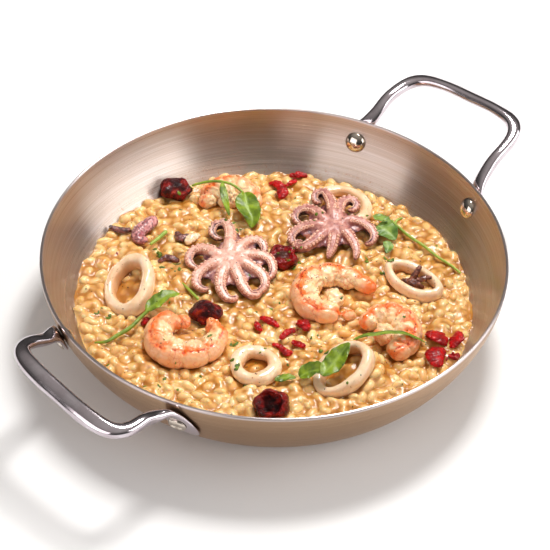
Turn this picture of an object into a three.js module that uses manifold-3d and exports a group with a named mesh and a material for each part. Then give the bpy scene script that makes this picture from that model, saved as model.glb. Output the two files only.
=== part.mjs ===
// A two-handled steel pan of seafood risotto, in millimetres. The pan stands on z = 0 with its axis on +Z,
// and its handles lie along X. The food is laid out in a plan of its own, in which u runs to the right and
// v away from someone who stands at the pan's front; that plan is turned under the handles by PLAN_TURN.
import * as THREE from "three";
import { mergeVertices } from "three/addons/utils/BufferGeometryUtils.js";
import Module from "manifold-3d";

const wasm = await Module();
wasm.setup();

// ------------------------------------------------------------------ driving sizes
const PAN = {
  rimRadius: 130,
  height: 50,
  baseRadius: 94,
  wall: 1.8,
  rimPull: 21, // how far the side stays nearly upright under the rim
  rimFlare: 1.3, // how far it leans in over that length
  basePull: 12.5, // how far the base's curve starts outside the flat
  segments: 48,
  outerSteps: 5,
  innerSteps: 5,
  facetSag: 0.35, // how far the flat facets of the inside stand in from its true curve
};
const RIVET = {
  angle: THREE.MathUtils.degToRad(20.3), // either side of a handle's middle
  drop: 13.5, // below the rim
  shank: 2.5,
  headRadius: 6.2,
  headHeight: 3.9,
  tailRadius: 5.2,
  tailHeight: 1.7,
  slot: [6, 1.7, 0.9], // its length, width and depth in the tail
  clearance: 0.3,
  drill: 30, // length of the hole cut for the shank
  headStand: 1.1, // between the head and the wall's inner face, which bows towards it
};
const FLANGE = {
  thickness: 2.4,
  wallGap: 0.4,
  // Along it: degrees from the handle's middle, drop below the rim, lift off the wall, half width and
  // half thickness.
  stations: [
    [24.4, 23.6, -0.3, 1.2, 0.7],
    [23.8, 21.8, 0, 3.6, 1.1],
    [22.6, 18.6, 0, 6.2, 1.2],
    [21.4, 15, 0, 7.3, 1.2],
    [20.3, 11, 0, 7.3, 1.2],
    [19.3, 6.8, 0.4, 6.2, 1.6],
    [18.6, 2.8, 1.6, 4.6, 2.4],
  ],
};
const STRAP = {
  neck: { wide: 3.8, thick: 3.1 }, // half sizes of the strap just under its shoulder
  neckPlace: [-3.4, 0, -3.2], // from the shoulder
  leg: { wide: 3.6, thick: 3.3 }, // half sizes where it has left the wall
  grip: { wide: 4.9, thick: 3.3 }, // and in the middle of the bar that the hand holds
  gripTilt: THREE.MathUtils.degToRad(28), // how far the bar's flat top leans outwards
  bend: 17, // how far from each corner its round starts
  legSpan: 41, // from the middle to the foot of each leg
  bow: 1.6, // how far the bar's middle stands out beyond its corners
};
// The straps were bent by hand, so the handles differ a little: each has its half span, the reach and
// height of its shoulder, where it turns away from the wall, and the reach and height of its two corners.
const HANDLES = {
  handle_far: { turn: 0, span: 40, shoulder: [139, 57], corners: [[166.4, 63.6], [170.2, 67.2]] },
  handle_near: { turn: Math.PI, span: 42.8, shoulder: [139, 51], corners: [[162, 51.8], [157.6, 58]] },
};
const FOOD_LEVEL = 15.8; // top of the rice above the base
const FOOD_RADIUS = 112.6; // where its surface meets the side
const BED_LEVEL = FOOD_LEVEL - 0.8; // the bare core that the toppings lie on
const BUMP = { crest: 1.2, spread: 1.2, saddle: 1.4 }; // heights of the rice's grain-sized bumps
const PLAN_TURN = THREE.MathUtils.degToRad(-47.9);
const GAP = 0.3; // clear space between neighbouring solids
const UP = new THREE.Vector3(0, 0, 1);

// ------------------------------------------------------------------ materials
const finish = (color, roughness, metalness = 0) =>
  new THREE.MeshStandardMaterial({ color, roughness, metalness });
const FINISH = {
  brushedSteel: finish(0xb9aca0, 0.35, 1),
  polishedSteel: finish(0xc9c0ba, 0.12, 1),
  rice: finish(0xe3c084, 0.35),
  octopus: finish(0xc98f8c, 0.35),
  darkTentacle: finish(0x5a2c2a, 0.4),
  prawn: finish(0xf0a468, 0.35),
  squid: finish(0xf1d2a4, 0.3),
  roastTomato: finish(0x47141a, 0.25),
  driedTomato: finish(0x9d1016, 0.35),
  leaf: finish(0x4f8a24, 0.4),
  stem: finish(0x6d9a34, 0.4),
};

// ------------------------------------------------------------------ small tools
/** A repeatable stream of numbers from 0 up to 1. */
function randomStream(seed) {
  let state = seed >>> 0;
  return () => {
    state = (Math.imul(state, 1664525) + 1013904223) >>> 0;
    return state / 4294967296;
  };
}

const vector = ([x, y, z]) => new THREE.Vector3(x, y, z);
/** A place over the food, from its plan and its height above the rice. */
const over = ([u, v, h]) => new THREE.Vector3(u, v, FOOD_LEVEL + h);
/** Reads a list of key values spread evenly from 0 to 1. */
function between(keys, share) {
  const at = Math.min(Math.max(share, 0), 1) * (keys.length - 1);
  const low = Math.min(Math.floor(at), keys.length - 2);
  return THREE.MathUtils.lerp(keys[low], keys[low + 1], at - low);
}

function geometryOf(points, faces) {
  const geometry = new THREE.BufferGeometry().setFromPoints(points);
  geometry.setIndex(faces);
  return geometry;
}

/** A skin over rings of equally many points, its ends closed to their middles or joined to each other. */
function loft(rings, endless = false) {
  const count = rings[0].length;
  const points = rings.flat();
  const faces = [];
  const spans = endless ? rings.length : rings.length - 1;
  for (let k = 0; k < spans; k++) {
    const next = ((k + 1) % rings.length) * count;
    for (let i = 0; i < count; i++) {
      const j = (i + 1) % count;
      faces.push(k * count + i, k * count + j, next + j);
      faces.push(k * count + i, next + j, next + i);
    }
  }
  if (!endless) {
    for (const [ring, first, flip] of [
      [rings[0], 0, true],
      [rings.at(-1), (rings.length - 1) * count, false],
    ]) {
      const middle = ring.reduce((sum, p) => sum.add(p), new THREE.Vector3()).divideScalar(count);
      const hub = points.push(middle) - 1;
      for (let i = 0; i < count; i++) {
        const pair = [first + i, first + ((i + 1) % count)];
        faces.push(hub, ...(flip ? pair.reverse() : pair));
      }
    }
  }
  return geometryOf(points, faces);
}

/** A round or flattened bar along a route, whose half sizes are lists read along it. */
function bar(route, { wide, high = wide, sides = 6, steps = 8, turn = 0 }) {
  const path = new THREE.CatmullRomCurve3(route, false, "centripetal");
  const rings = [];
  for (let k = 0; k <= steps; k++) {
    const share = k / steps;
    const place = path.getPointAt(share);
    const along = path.getTangentAt(share);
    const side = new THREE.Vector3().crossVectors(along, UP).normalize().applyAxisAngle(along, turn);
    const rise = new THREE.Vector3().crossVectors(side, along);
    const ring = [];
    for (let i = 0; i < sides; i++) {
      const angle = (2 * Math.PI * (i + 0.5)) / sides;
      ring.push(
        place
          .clone()
          .addScaledVector(side, between(wide, share) * Math.cos(angle))
          .addScaledVector(rise, between(high, share) * Math.sin(angle)),
      );
    }
    rings.push(ring);
  }
  return loft(rings);
}

// ------------------------------------------------------------------ joining and cutting
/** A closed geometry as a manifold-3d solid, turned the right way out. */
function solidOf(geometry) {
  const bare = geometry.clone();
  bare.deleteAttribute("normal");
  bare.deleteAttribute("uv");
  const merged = mergeVertices(bare, 1e-4);
  const source = merged.index.array;
  const faces = [];
  for (let i = 0; i < source.length; i += 3) {
    const [a, b, c] = [source[i], source[i + 1], source[i + 2]];
    if (a !== b && b !== c && c !== a) faces.push(a, b, c);
  }
  const make = (triVerts) =>
    new wasm.Manifold(
      new wasm.Mesh({
        numProp: 3,
        vertProperties: merged.attributes.position.array,
        triVerts: new Uint32Array(triVerts),
      }),
    );
  const made = make(faces);
  return made.volume() < 0 ? make(faces.reverse()) : made;
}

function geometryFrom(solid) {
  const mesh = solid.getMesh();
  const points = [];
  for (let i = 0; i < mesh.numVert; i++)
    points.push(new THREE.Vector3().fromArray(mesh.vertProperties, i * mesh.numProp));
  return geometryOf(points, Array.from(mesh.triVerts));
}

/** The largest body of a solid, without the scraps that a cut can leave. */
function mainBody(solid) {
  return solid.decompose().reduce((best, body) => (body.volume() > best.volume() ? body : best));
}

/** A copy of a solid that stands out from it by a distance all round. */
function grown(solid, distance) {
  const geometry = geometryFrom(solid);
  geometry.computeVertexNormals();
  const { position, normal } = geometry.attributes;
  for (let i = 0; i < position.count; i++)
    position.setXYZ(
      i,
      position.getX(i) + normal.getX(i) * distance,
      position.getY(i) + normal.getY(i) * distance,
      position.getZ(i) + normal.getZ(i) * distance,
    );
  return solidOf(geometry);
}

const joined = (solids) => solids.reduce((sum, solid) => sum.add(solid));

// ------------------------------------------------------------------ pan
const sideCurve = new THREE.CubicBezierCurve(
  new THREE.Vector2(PAN.baseRadius, 0),
  new THREE.Vector2(PAN.baseRadius + PAN.basePull, 0),
  new THREE.Vector2(PAN.rimRadius - PAN.rimFlare, PAN.height - PAN.rimPull),
  new THREE.Vector2(PAN.rimRadius, PAN.height),
);

/** A point of the side at a share of its curve, set in from the outer face by a depth. */
function sidePoint(share, depth = 0) {
  const along = sideCurve.getTangent(share);
  return sideCurve.getPoint(share).add(new THREE.Vector2(-along.y, along.x).multiplyScalar(depth));
}

/** The share of the side's curve at a height, found by halving. */
function shareAtHeight(z) {
  let [low, high] = [0, 1];
  for (let i = 0; i < 30; i++) {
    const middle = (low + high) / 2;
    if (sideCurve.getPoint(middle).y < z) low = middle;
    else high = middle;
  }
  return low;
}

/** A lathe turned about Z from a profile of radius and height. */
function turned(profile, segments) {
  return new THREE.LatheGeometry(profile, segments).rotateX(Math.PI / 2);
}

/** Where the outer face is at an angle and height, with its outward normal, pushed out by a distance. */
function onSide(angle, z, distance = 0) {
  const share = shareAtHeight(z);
  const along = sideCurve.getTangent(share);
  const radius = sideCurve.getPoint(share).x;
  const normal = new THREE.Vector3(along.y, 0, -along.x).applyAxisAngle(UP, angle);
  const place = new THREE.Vector3(radius, 0, z).applyAxisAngle(UP, angle).addScaledVector(normal, distance);
  return { place, normal };
}

function panSolid() {
  const profile = [new THREE.Vector2(0, 0)];
  for (let i = 0; i <= PAN.outerSteps; i++) profile.push(sidePoint(i / PAN.outerSteps));
  profile.push(sidePoint(1, PAN.wall / 2).add(new THREE.Vector2(0, PAN.wall / 3)));
  for (let i = PAN.innerSteps; i >= 0; i--) profile.push(sidePoint(i / PAN.innerSteps, PAN.wall));
  profile.push(new THREE.Vector2(0, PAN.wall));
  return solidOf(turned(profile, PAN.segments));
}

// ------------------------------------------------------------------ rivets
const rivetAngles = [0, Math.PI].flatMap((turn) => [turn - RIVET.angle, turn + RIVET.angle]);
const rivetHeight = PAN.height - RIVET.drop;

/** Stands a lathe made about Z from the inner face outwards on the side at a rivet. */
function seatRivet(geometry, angle) {
  const { place, normal } = onSide(angle, rivetHeight, -PAN.wall);
  return geometry
    .applyQuaternion(new THREE.Quaternion().setFromUnitVectors(UP, normal))
    .translate(place.x, place.y, place.z);
}

function rivetSolid(angle) {
  const seat = -RIVET.headStand;
  const tail = PAN.wall + FLANGE.wallGap + FLANGE.thickness + RIVET.clearance;
  const dome = [0, 0.5, 1].map((share) => {
    const lift = (share * Math.PI) / 2;
    return new THREE.Vector2(
      RIVET.headRadius * Math.sin(lift),
      seat - RIVET.headHeight * Math.cos(lift),
    );
  });
  dome[0].x = 0;
  const profile = [
    ...dome,
    new THREE.Vector2(RIVET.shank, seat),
    new THREE.Vector2(RIVET.shank, tail),
    new THREE.Vector2(RIVET.tailRadius, tail),
    new THREE.Vector2(RIVET.tailRadius * 0.8, tail + RIVET.tailHeight * 0.7),
    new THREE.Vector2(0, tail + RIVET.tailHeight),
  ];
  const [length, width, depth] = RIVET.slot;
  const slot = new THREE.BoxGeometry(length, width, 2 * depth).translate(0, 0, tail + RIVET.tailHeight);
  return solidOf(seatRivet(turned(profile, 8), angle)).subtract(solidOf(seatRivet(slot, angle)));
}

function rivetHole(angle) {
  const radius = RIVET.shank + RIVET.clearance;
  const hole = new THREE.CylinderGeometry(radius, radius, RIVET.drill, 8);
  return solidOf(seatRivet(hole.rotateX(Math.PI / 2), angle));
}

// ------------------------------------------------------------------ handles
/** The section across a handle's strap: flat faces and round edges. */
const STRAP_OUTLINE = [
  [1, 0.3],
  [0.55, 1],
  [-0.55, 1],
  [-1, 0.3],
  [-1, -0.3],
  [-0.55, -1],
  [0.55, -1],
  [1, -0.3],
];

/**
 * The stations of a handle's half on the +Y side, from the tip of its flange to its last corner. Each has
 * its place, the normal of its flat side, and its half width and half thickness.
 */
function halfStations(span, [shoulderReach, shoulderRise], [reach, rise], middle) {
  const plate = FLANGE.wallGap + FLANGE.thickness / 2;
  const onFlange = ([degrees, drop, lift, wide, thick]) => {
    const angle = THREE.MathUtils.degToRad(degrees);
    const { place, normal } = onSide(angle, PAN.height - drop, plate + lift);
    return { place, normal, wide, thick };
  };
  const { neckPlace, leg, grip, gripTilt } = STRAP;
  const underNeck = new THREE.Vector3(0.75, 0, -0.7).normalize();
  const underLeg = new THREE.Vector3(0.12, 0, -1).normalize();
  const underGrip = new THREE.Vector3(-Math.sin(gripTilt), 0, -Math.cos(gripTilt));
  const shoulder = new THREE.Vector3(shoulderReach, STRAP.legSpan, shoulderRise);
  const corner = new THREE.Vector3(reach, span, rise);
  const into = corner.clone().add(shoulder.clone().sub(corner).setLength(STRAP.bend));
  const outOf = corner.clone().add(middle.clone().sub(corner).setLength(STRAP.bend));
  const round = new THREE.QuadraticBezierCurve3(into, corner, outOf);
  const onRound = (share) => ({
    place: round.getPoint(share),
    normal: underLeg.clone().lerp(underGrip, share).normalize(),
    wide: THREE.MathUtils.lerp(leg.wide, grip.wide, share),
    thick: THREE.MathUtils.lerp(leg.thick, grip.thick, share),
  });
  const neck = { place: shoulder.clone().add(vector(neckPlace)), normal: underNeck, ...STRAP.neck };
  return [
    ...FLANGE.stations.map(onFlange),
    neck,
    { place: shoulder, normal: underLeg, ...leg },
    ...[0, 0.35, 0.65, 1].map(onRound),
  ];
}

function handleSolid({ turn, span, shoulder, corners }) {
  const [left, right] = corners;
  const [reach, rise] = [(left[0] + right[0]) / 2, (left[1] + right[1]) / 2];
  const middle = new THREE.Vector3(reach + STRAP.bow, 0, rise);
  const flipY = new THREE.Vector3(1, -1, 1);
  const half = (corner) => halfStations(span, shoulder, corner, middle);
  const mirrored = half(right).reverse().map((station) => ({
    ...station,
    place: station.place.clone().multiply(flipY),
    normal: station.normal.clone().multiply(flipY),
  }));
  const grip = { place: middle, normal: half(left).at(-1).normal, ...STRAP.grip };
  const stations = [...half(left), grip, ...mirrored];
  const rings = stations.map((station, k) => {
    const before = stations[Math.max(k - 1, 0)].place;
    const after = stations[Math.min(k + 1, stations.length - 1)].place;
    const along = after.clone().sub(before).normalize();
    const across = new THREE.Vector3().crossVectors(along, station.normal).normalize();
    const flat = new THREE.Vector3().crossVectors(across, along);
    return STRAP_OUTLINE.map(([w, t]) =>
      station.place
        .clone()
        .addScaledVector(across, w * station.wide)
        .addScaledVector(flat, t * station.thick),
    );
  });
  const holes = joined([-RIVET.angle, RIVET.angle].map(rivetHole));
  const strap = mainBody(solidOf(loft(rings)).subtract(holes));
  return solidOf(geometryFrom(strap).rotateZ(turn));
}

// ------------------------------------------------------------------ squid rings
/**
 * A squid ring: an oval through two half axes about a middle, each in plan with a height, with a wall and a
 * band of given half sizes, and crowned edges. It lies in the plane of its half axes.
 */
function squidRing({ middle, a, b, wall, band, sides = 6, steps = 12 }) {
  const [halfA, halfB] = [vector(a), vector(b)];
  const normal = new THREE.Vector3().crossVectors(halfB, halfA).normalize();
  const rings = [];
  for (let k = 0; k < steps; k++) {
    const angle = (2 * Math.PI * k) / steps;
    const place = halfA.clone().multiplyScalar(Math.cos(angle)).addScaledVector(halfB, Math.sin(angle));
    const along = halfB
      .clone()
      .multiplyScalar(Math.cos(angle))
      .addScaledVector(halfA, -Math.sin(angle))
      .normalize();
    const outward = new THREE.Vector3().crossVectors(along, normal).multiplyScalar(-1);
    const centre = over(middle).add(place).addScaledVector(outward, -wall);
    const ring = [];
    for (let i = 0; i < sides; i++) {
      const turn = (2 * Math.PI * (i + 0.5)) / sides;
      ring.push(
        centre
          .clone()
          .addScaledVector(outward, wall * Math.cos(turn))
          .addScaledVector(normal, band * Math.sin(turn)),
      );
    }
    rings.push(ring);
  }
  return solidOf(loft(rings, true));
}

const SQUID_RINGS = {
  squid_ring_left: { middle: [-81, 1.5, 5], a: [8.6, 15.6, 7], b: [11, -12.6, 2.4], wall: 3.5, band: 5 },
  squid_ring_front: { middle: [-8.8, -56.8, 2], a: [0, 14.6, 0], b: [14.2, 0, 0], wall: 3.8, band: 4 },
  squid_ring_front_right: {
    middle: [39.3, -61.5, 5.5], a: [11, 14.2, 7], b: [11.6, -9.6, 3.9], wall: 3.2, band: 4.6,
  },
  squid_ring_right: {
    middle: [79.4, 15.2, 2.6], a: [-15.3, 12.2, 0], b: [6.4, 9.6, 0], wall: 2.6, band: 3.8,
  },
  squid_ring_back: { middle: [38, 78.5, 1.6], a: [18.6, 1, 0], b: [-1, 18.8, 0], wall: 3.6, band: 3.2 },
};

// ------------------------------------------------------------------ prawns
/** A peeled prawn curled along a route, with the body's segments as shallow bulges, and lumps of flesh. */
function prawn({ route, radii, segments = 5, lumps = [] }) {
  const steps = 11;
  const wide = [];
  for (let k = 0; k <= steps; k++) {
    const share = k / steps;
    const bulge = 1 + 0.07 * Math.abs(Math.sin(share * segments * Math.PI));
    wide.push(between(radii, share) * bulge);
  }
  const body = bar(route.map(over), { wide, high: wide.map((w) => w * 0.92), sides: 7, steps });
  return joined([solidOf(body), ...lumps.map(([u, v, h, r]) => blob([u, v, h], [r, r, r * 0.85]))]);
}

/** A rounded lump of flesh with few faces. */
function blob(middle, [x, y, z]) {
  const place = over(middle);
  return solidOf(new THREE.IcosahedronGeometry(1, 1).scale(x, y, z).translate(place.x, place.y, place.z));
}

const PRAWNS = {
  prawn_front_left: {
    route: [
      [-53, -24.5, 6.5], [-61, -31, 6], [-63, -41.5, 5], [-57.5, -50.5, 4.8],
      [-47, -53, 4.8], [-36.5, -50, 5.2], [-30.5, -41, 5.6], [-29, -30.5, 6],
    ],
    radii: [5, 7.4, 8, 8.2, 7.8, 7.2, 6.4, 3.6],
    lumps: [[-50, -28.5, 7, 5.2], [-32.5, -30, 6.6, 4.6]],
  },
  prawn_centre: {
    route: [
      [58, 3, 4.5], [49.5, 9, 6], [39, 13, 6.5], [28, 13.5, 6.5], [20, 8.5, 6],
      [17.5, -1, 5.5], [21, -11.5, 5], [29, -16, 5], [38, -15.5, 5],
    ],
    radii: [3, 5.2, 6.4, 7.2, 7.8, 8, 7.8, 6.6, 4.4],
    lumps: [[34, -6, 6.5, 6], [42.5, -15.5, 4, 4.2]],
  },
  prawn_right: {
    route: [
      [50, -27, 4.5], [55.5, -20.5, 5.5], [64.5, -18, 6], [72.5, -23, 6],
      [75, -32.5, 5.5], [71.5, -42.5, 5], [64, -47, 4.5],
    ],
    radii: [4.2, 6.4, 7.8, 8.2, 8, 7.4, 5],
    lumps: [[62, -33, 6, 6.2]],
  },
  prawn_back: {
    route: [
      [-42, 76.5, 1], [-39, 86, 2.5], [-30.5, 92.5, 3.5], [-20, 91.5, 3.5], [-13.5, 84.5, 2.5],
      [-12.5, 77, 1],
    ],
    radii: [3.6, 6.2, 7.2, 7, 6, 3.4],
    lumps: [[-28, 83, 2.5, 6.4]],
  },
};

// ------------------------------------------------------------------ baby octopuses
/** A baby octopus lying mouth up: a low web in the middle and arms that splay, sag and curl. */
function octopus({ middle, web, arms, root, tip }) {
  const parts = [blob(middle, web)];
  for (const route of arms) {
    const near = (axis) => THREE.MathUtils.lerp(middle[axis], route[0][axis], 0.4);
    const start = [near(0), near(1), middle[2] - 0.6];
    const wide = [root * 1.12, root, root * 0.92, root * 0.82, root * 0.68, tip];
    parts.push(solidOf(bar([start, ...route].map(over), { wide, sides: 5, steps: 5 })));
  }
  return joined(parts);
}

const OCTOPUSES = {
  octopus_left: {
    middle: [-26.5, 24.5, 6.4],
    web: [10.5, 10, 3.6],
    root: 3.3,
    tip: 1.3,
    arms: [
      [[-26, 35, 7.2], [-26, 47.5, 7], [-29, 55, 6.5], [-35, 54.5, 5.5], [-36.5, 49, 4.5], [-33.5, 45.5, 4]],
      [[-20.5, 33, 7], [-14.5, 41, 6], [-9, 42, 5], [-6, 37.5, 4], [-7, 33, 3.2]],
      [[-18, 27, 7], [-10.5, 29, 6], [-3, 26.5, 5], [-0.5, 19.5, 4], [-2.5, 13.5, 3.2]],
      [[-18.5, 21.5, 7], [-11.5, 17.5, 6], [-6, 12, 5], [-5, 5, 4], [-9, 1, 3.2]],
      [[-23, 17, 7], [-20, 10, 6], [-17, 2.5, 5], [-12.5, -2.5, 4], [-8.5, -1, 3.2]],
      [[-28, 16.5, 7], [-30, 9, 6], [-29.5, 0, 5], [-25.5, -6, 4], [-21.5, -5, 3.2]],
      [[-33, 20.5, 7], [-39, 17, 6], [-43.5, 11, 5], [-43.5, 4.5, 4], [-39.5, 2, 3.2]],
      [[-34, 28.5, 7], [-41, 33, 6], [-46.5, 32, 5], [-49, 26.5, 4], [-46.5, 21.5, 3.2]],
    ],
  },
  octopus_right: {
    middle: [33.5, 54.5, 6.4],
    web: [10, 10, 3.6],
    root: 3.2,
    tip: 1.3,
    arms: [
      [[33.5, 65, 7.6], [32, 76, 8.2], [27.5, 84, 8.2], [23, 82.5, 7.4], [23.5, 77.5, 6.6]],
      [[36.5, 64.5, 7.4], [38.5, 74.5, 8], [43.5, 78, 8], [47.5, 74.5, 7.4], [45.5, 70.5, 6.8]],
      [[42, 60, 7.2], [48.5, 60, 6.6], [54.5, 56.5, 5.4], [57.5, 50, 4.4], [55.5, 45.5, 3.6]],
      [[40, 50.5, 7], [44.5, 44.5, 6], [47, 37, 5], [46.5, 30, 4]],
      [[34, 44.5, 7], [33, 37.5, 5.5], [30.5, 30.5, 4]],
      [[27.5, 48, 7], [22, 41.5, 6], [16.5, 38, 5], [12.5, 39.5, 4], [13, 44.5, 3.2]],
      [[25, 55.5, 7], [18.5, 55.5, 6], [12.5, 52.5, 5], [9.5, 47.5, 4], [11, 43, 3.2]],
      [[27, 62.5, 7], [21.5, 70, 6], [15.5, 71.5, 5], [11.5, 68, 4], [12, 63.5, 3.2]],
    ],
  },
};

// ------------------------------------------------------------------ tomatoes
/**
 * A wrinkled, collapsed tomato: a squashed ball whose skin folds in lobes round its middle, with a dimple
 * where it was cut, on the side that faces along `open`.
 */
function wrinkled({ middle, size, lobes, depth, open, dimple = 0.45, tall = 7, round = 11, seed = 1 }) {
  const random = randomStream(seed);
  const phase = random() * 2 * Math.PI;
  const mouth = vector(open).normalize();
  const turn = new THREE.Quaternion().setFromUnitVectors(UP, mouth);
  const ball = new THREE.SphereGeometry(1, round, tall).rotateX(Math.PI / 2).applyQuaternion(turn);
  const side = new THREE.Vector3(1, 0, 0).applyQuaternion(turn);
  const other = new THREE.Vector3().crossVectors(mouth, side);
  const { position } = ball.attributes;
  const point = new THREE.Vector3();
  const place = over(middle);
  for (let i = 0; i < position.count; i++) {
    point.fromBufferAttribute(position, i);
    const facing = point.dot(mouth);
    const angle = Math.atan2(point.dot(other), point.dot(side));
    const fold = 1 + depth * Math.sin(lobes * angle + phase + 2 * facing) * (1 - facing * facing);
    const sunk = dimple * Math.max(0, (facing - 0.72) / 0.28);
    point.multiplyScalar(fold).addScaledVector(mouth, -sunk);
    point.multiply(vector(size)).add(place);
    position.setXYZ(i, point.x, point.y, point.z);
  }
  return solidOf(ball);
}

const TOMATOES = {
  roast_tomato_back: {
    middle: [-59.5, 88.5, 4.6], size: [9.2, 7.4, 6.2], lobes: 5, depth: 0.1, open: [0.3, -0.4, 0.9],
    dimple: 0.3, seed: 3,
  },
  roast_tomato_centre: {
    middle: [-37.5, -18.5, 5], size: [9, 6.8, 6.4], lobes: 4, depth: 0.09, open: [0.2, -0.8, 0.5],
    dimple: 0.3, seed: 5,
  },
  roast_tomato_front: {
    middle: [0.8, -88.5, 4.6], size: [9.8, 8.4, 7.6], lobes: 5, depth: 0.07, open: [-0.25, -0.55, 0.8],
    dimple: 0.75, seed: 7,
  },
};
const DRIED_TOMATO_CUP = {
  dried_tomato_cup: {
    middle: [4.5, 31, 3.6], size: [8, 7.8, 6.2], lobes: 7, depth: 0.13, open: [0, -0.25, 1],
    dimple: 0.9, seed: 11,
  },
};

/** A shrivelled strip of dried tomato or of tentacle, laid along a route. */
function shred({ route, wide, high, sides = 5, steps = 5, turn = 0 }) {
  return solidOf(bar(route.map(over), { wide, high, sides, steps, turn }));
}

const DRIED_TOMATO_SHREDS = {
  dried_tomato_strip_back: {
    route: [[-4.5, 99.5, 1.6], [0, 98.5, 2.2], [3.5, 94.5, 2], [3.5, 85.5, 1.6]],
    wide: [1.2, 2.6, 3, 3.6, 1.4], high: [0.9, 1.4, 1.6, 1.5, 0.9],
  },
  dried_tomato_tail_back: {
    route: [[5.8, 96.8, 2], [8.8, 99.8, 2.2], [12, 103.2, 1.8]],
    wide: [0.9, 1.6, 1], high: [0.8, 1.1, 0.8], steps: 3,
  },
  dried_tomato_edge: {
    route: [[7.5, 107, 1.4], [13, 108, 1.8], [18.5, 107.5, 1.4]],
    wide: [1, 2.4, 1], high: [0.8, 1.5, 0.8], steps: 4,
  },
  dried_tomato_petal_left: {
    route: [[85.5, -26.5, 2.2], [91.5, -31, 3.4], [96.5, -37, 2.6]],
    wide: [2.8, 6, 2.6], high: [0.9, 1.8, 1], turn: 0.3,
  },
  dried_tomato_petal_right: {
    route: [[103.5, -26, 3], [102.3, -32.5, 3.6], [99, -39, 2.4]],
    wide: [1.4, 4.6, 2.2], high: [0.8, 1.7, 0.9], turn: -0.4,
  },
  dried_tomato_petal_front: {
    route: [[95.5, -40, 2.4], [90, -45.5, 3.4], [91.5, -54, 2.2]],
    wide: [2.4, 6, 2.8], high: [0.9, 1.8, 1],
  },
  dried_tomato_petal_tail: {
    route: [[97, -44.5, 2], [100.5, -45.5, 2.4], [103, -43, 2]],
    wide: [1.4, 2.6, 1.4], high: [0.8, 1.3, 0.8], steps: 3,
  },
  dried_tomato_bit_1: {
    route: [[-7, -17.5, 1.8], [-1.5, -21.5, 2.6], [4, -25, 1.8]],
    wide: [1.2, 2.3, 1.1], high: [0.8, 1.4, 0.8], steps: 4,
  },
  dried_tomato_bit_2: {
    route: [[-9.5, -21.5, 1.4], [-8, -25.5, 1.8], [-6, -28, 1.2]],
    wide: [1, 2.2, 1], high: [0.8, 1.3, 0.8], steps: 4,
  },
  dried_tomato_bit_3: {
    route: [[13.5, -20.5, 1.8], [17.5, -23.5, 2.8], [19.5, -27.5, 1.6]],
    wide: [1.6, 3.8, 1.6], high: [0.9, 1.8, 0.9], steps: 4,
  },
  dried_tomato_bit_4: {
    route: [[12.8, -27, 1.8], [8.5, -29.5, 2.2], [4.5, -34.5, 1.6]],
    wide: [1.4, 2, 1.1], high: [0.9, 1.3, 0.8], steps: 4,
  },
  dried_tomato_bit_5: {
    route: [[0, -38.5, 1.2], [4.5, -41, 1.5], [8.5, -46, 1.8], [11, -44, 1.6]],
    wide: [1.2, 1.3, 2.3, 1.4], high: [0.8, 0.9, 1.4, 0.9],
  },
  dried_tomato_bit_6: {
    route: [[11.5, -36, 1.4], [14.5, -39, 2], [18.5, -39.5, 1.4]],
    wide: [1.2, 2.3, 1.1], high: [0.8, 1.4, 0.8], steps: 4,
  },
  dried_tomato_bit_7: {
    route: [[-72.5, -26.5, 1.6], [-70.5, -23.5, 2.4], [-68.5, -21.5, 2]],
    wide: [1.4, 2.4, 1.4], high: [0.9, 1.4, 0.9], steps: 3,
  },
};

const TENTACLES = {
  squid_curl: {
    route: [[-69.5, 62, 4.5], [-74, 56.5, 3.8], [-79, 50.5, 3], [-79, 45, 2.6], [-73.5, 43.5, 2.6]],
    wide: [3, 4, 4.4, 4.2, 3.6, 2.4], high: [2, 2.8, 3, 2.8, 2.4, 1.8], sides: 7, steps: 8,
  },
  tentacle_left: {
    route: [[-97, 56.5, 1.4], [-90, 53, 1.8], [-83.5, 53, 2]],
    wide: [1.2, 2.2, 1.8], high: [1, 1.5, 1.3],
  },
  tentacle_back: {
    route: [[-57.5, 53, 1.5], [-54, 47, 2.2], [-49.5, 50.5, 1.8]],
    wide: [1.3, 2.8, 1.4], high: [1, 1.9, 1.1],
  },
  squid_scrap: {
    route: [[-51, 42, 2.2], [-48.5, 46.3, 2.8], [-43.5, 49.5, 2.8]],
    wide: [2, 2.9, 1.8], high: [1.4, 2, 1.4],
  },
  tentacle_middle: {
    route: [[-66.5, 27, 1.3], [-61.5, 30, 2], [-54.5, 27.5, 1.6]],
    wide: [1.1, 2.3, 1.3], high: [0.9, 1.7, 1.1],
  },
};

/** The bunch of short tentacles that stands in the right-hand ring. */
function tentacleBunch() {
  const routes = [
    [[72.5, 16.5, 0.8], [78.5, 13.4, 2.8], [85.5, 11.2, 1.6]],
    [[77.5, 15, 2], [80.5, 17.6, 6], [83.5, 20.5, 9.5]],
    [[79, 14.5, 2.2], [85, 15.6, 4], [90.5, 15.6, 5.4]],
  ];
  const sizes = [[1.4, 2.6, 1], [1.6, 1.9, 1.1], [1.5, 1.6, 1]];
  return joined(routes.map((route, i) => shred({ route, wide: sizes[i], steps: 3 })));
}

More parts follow.
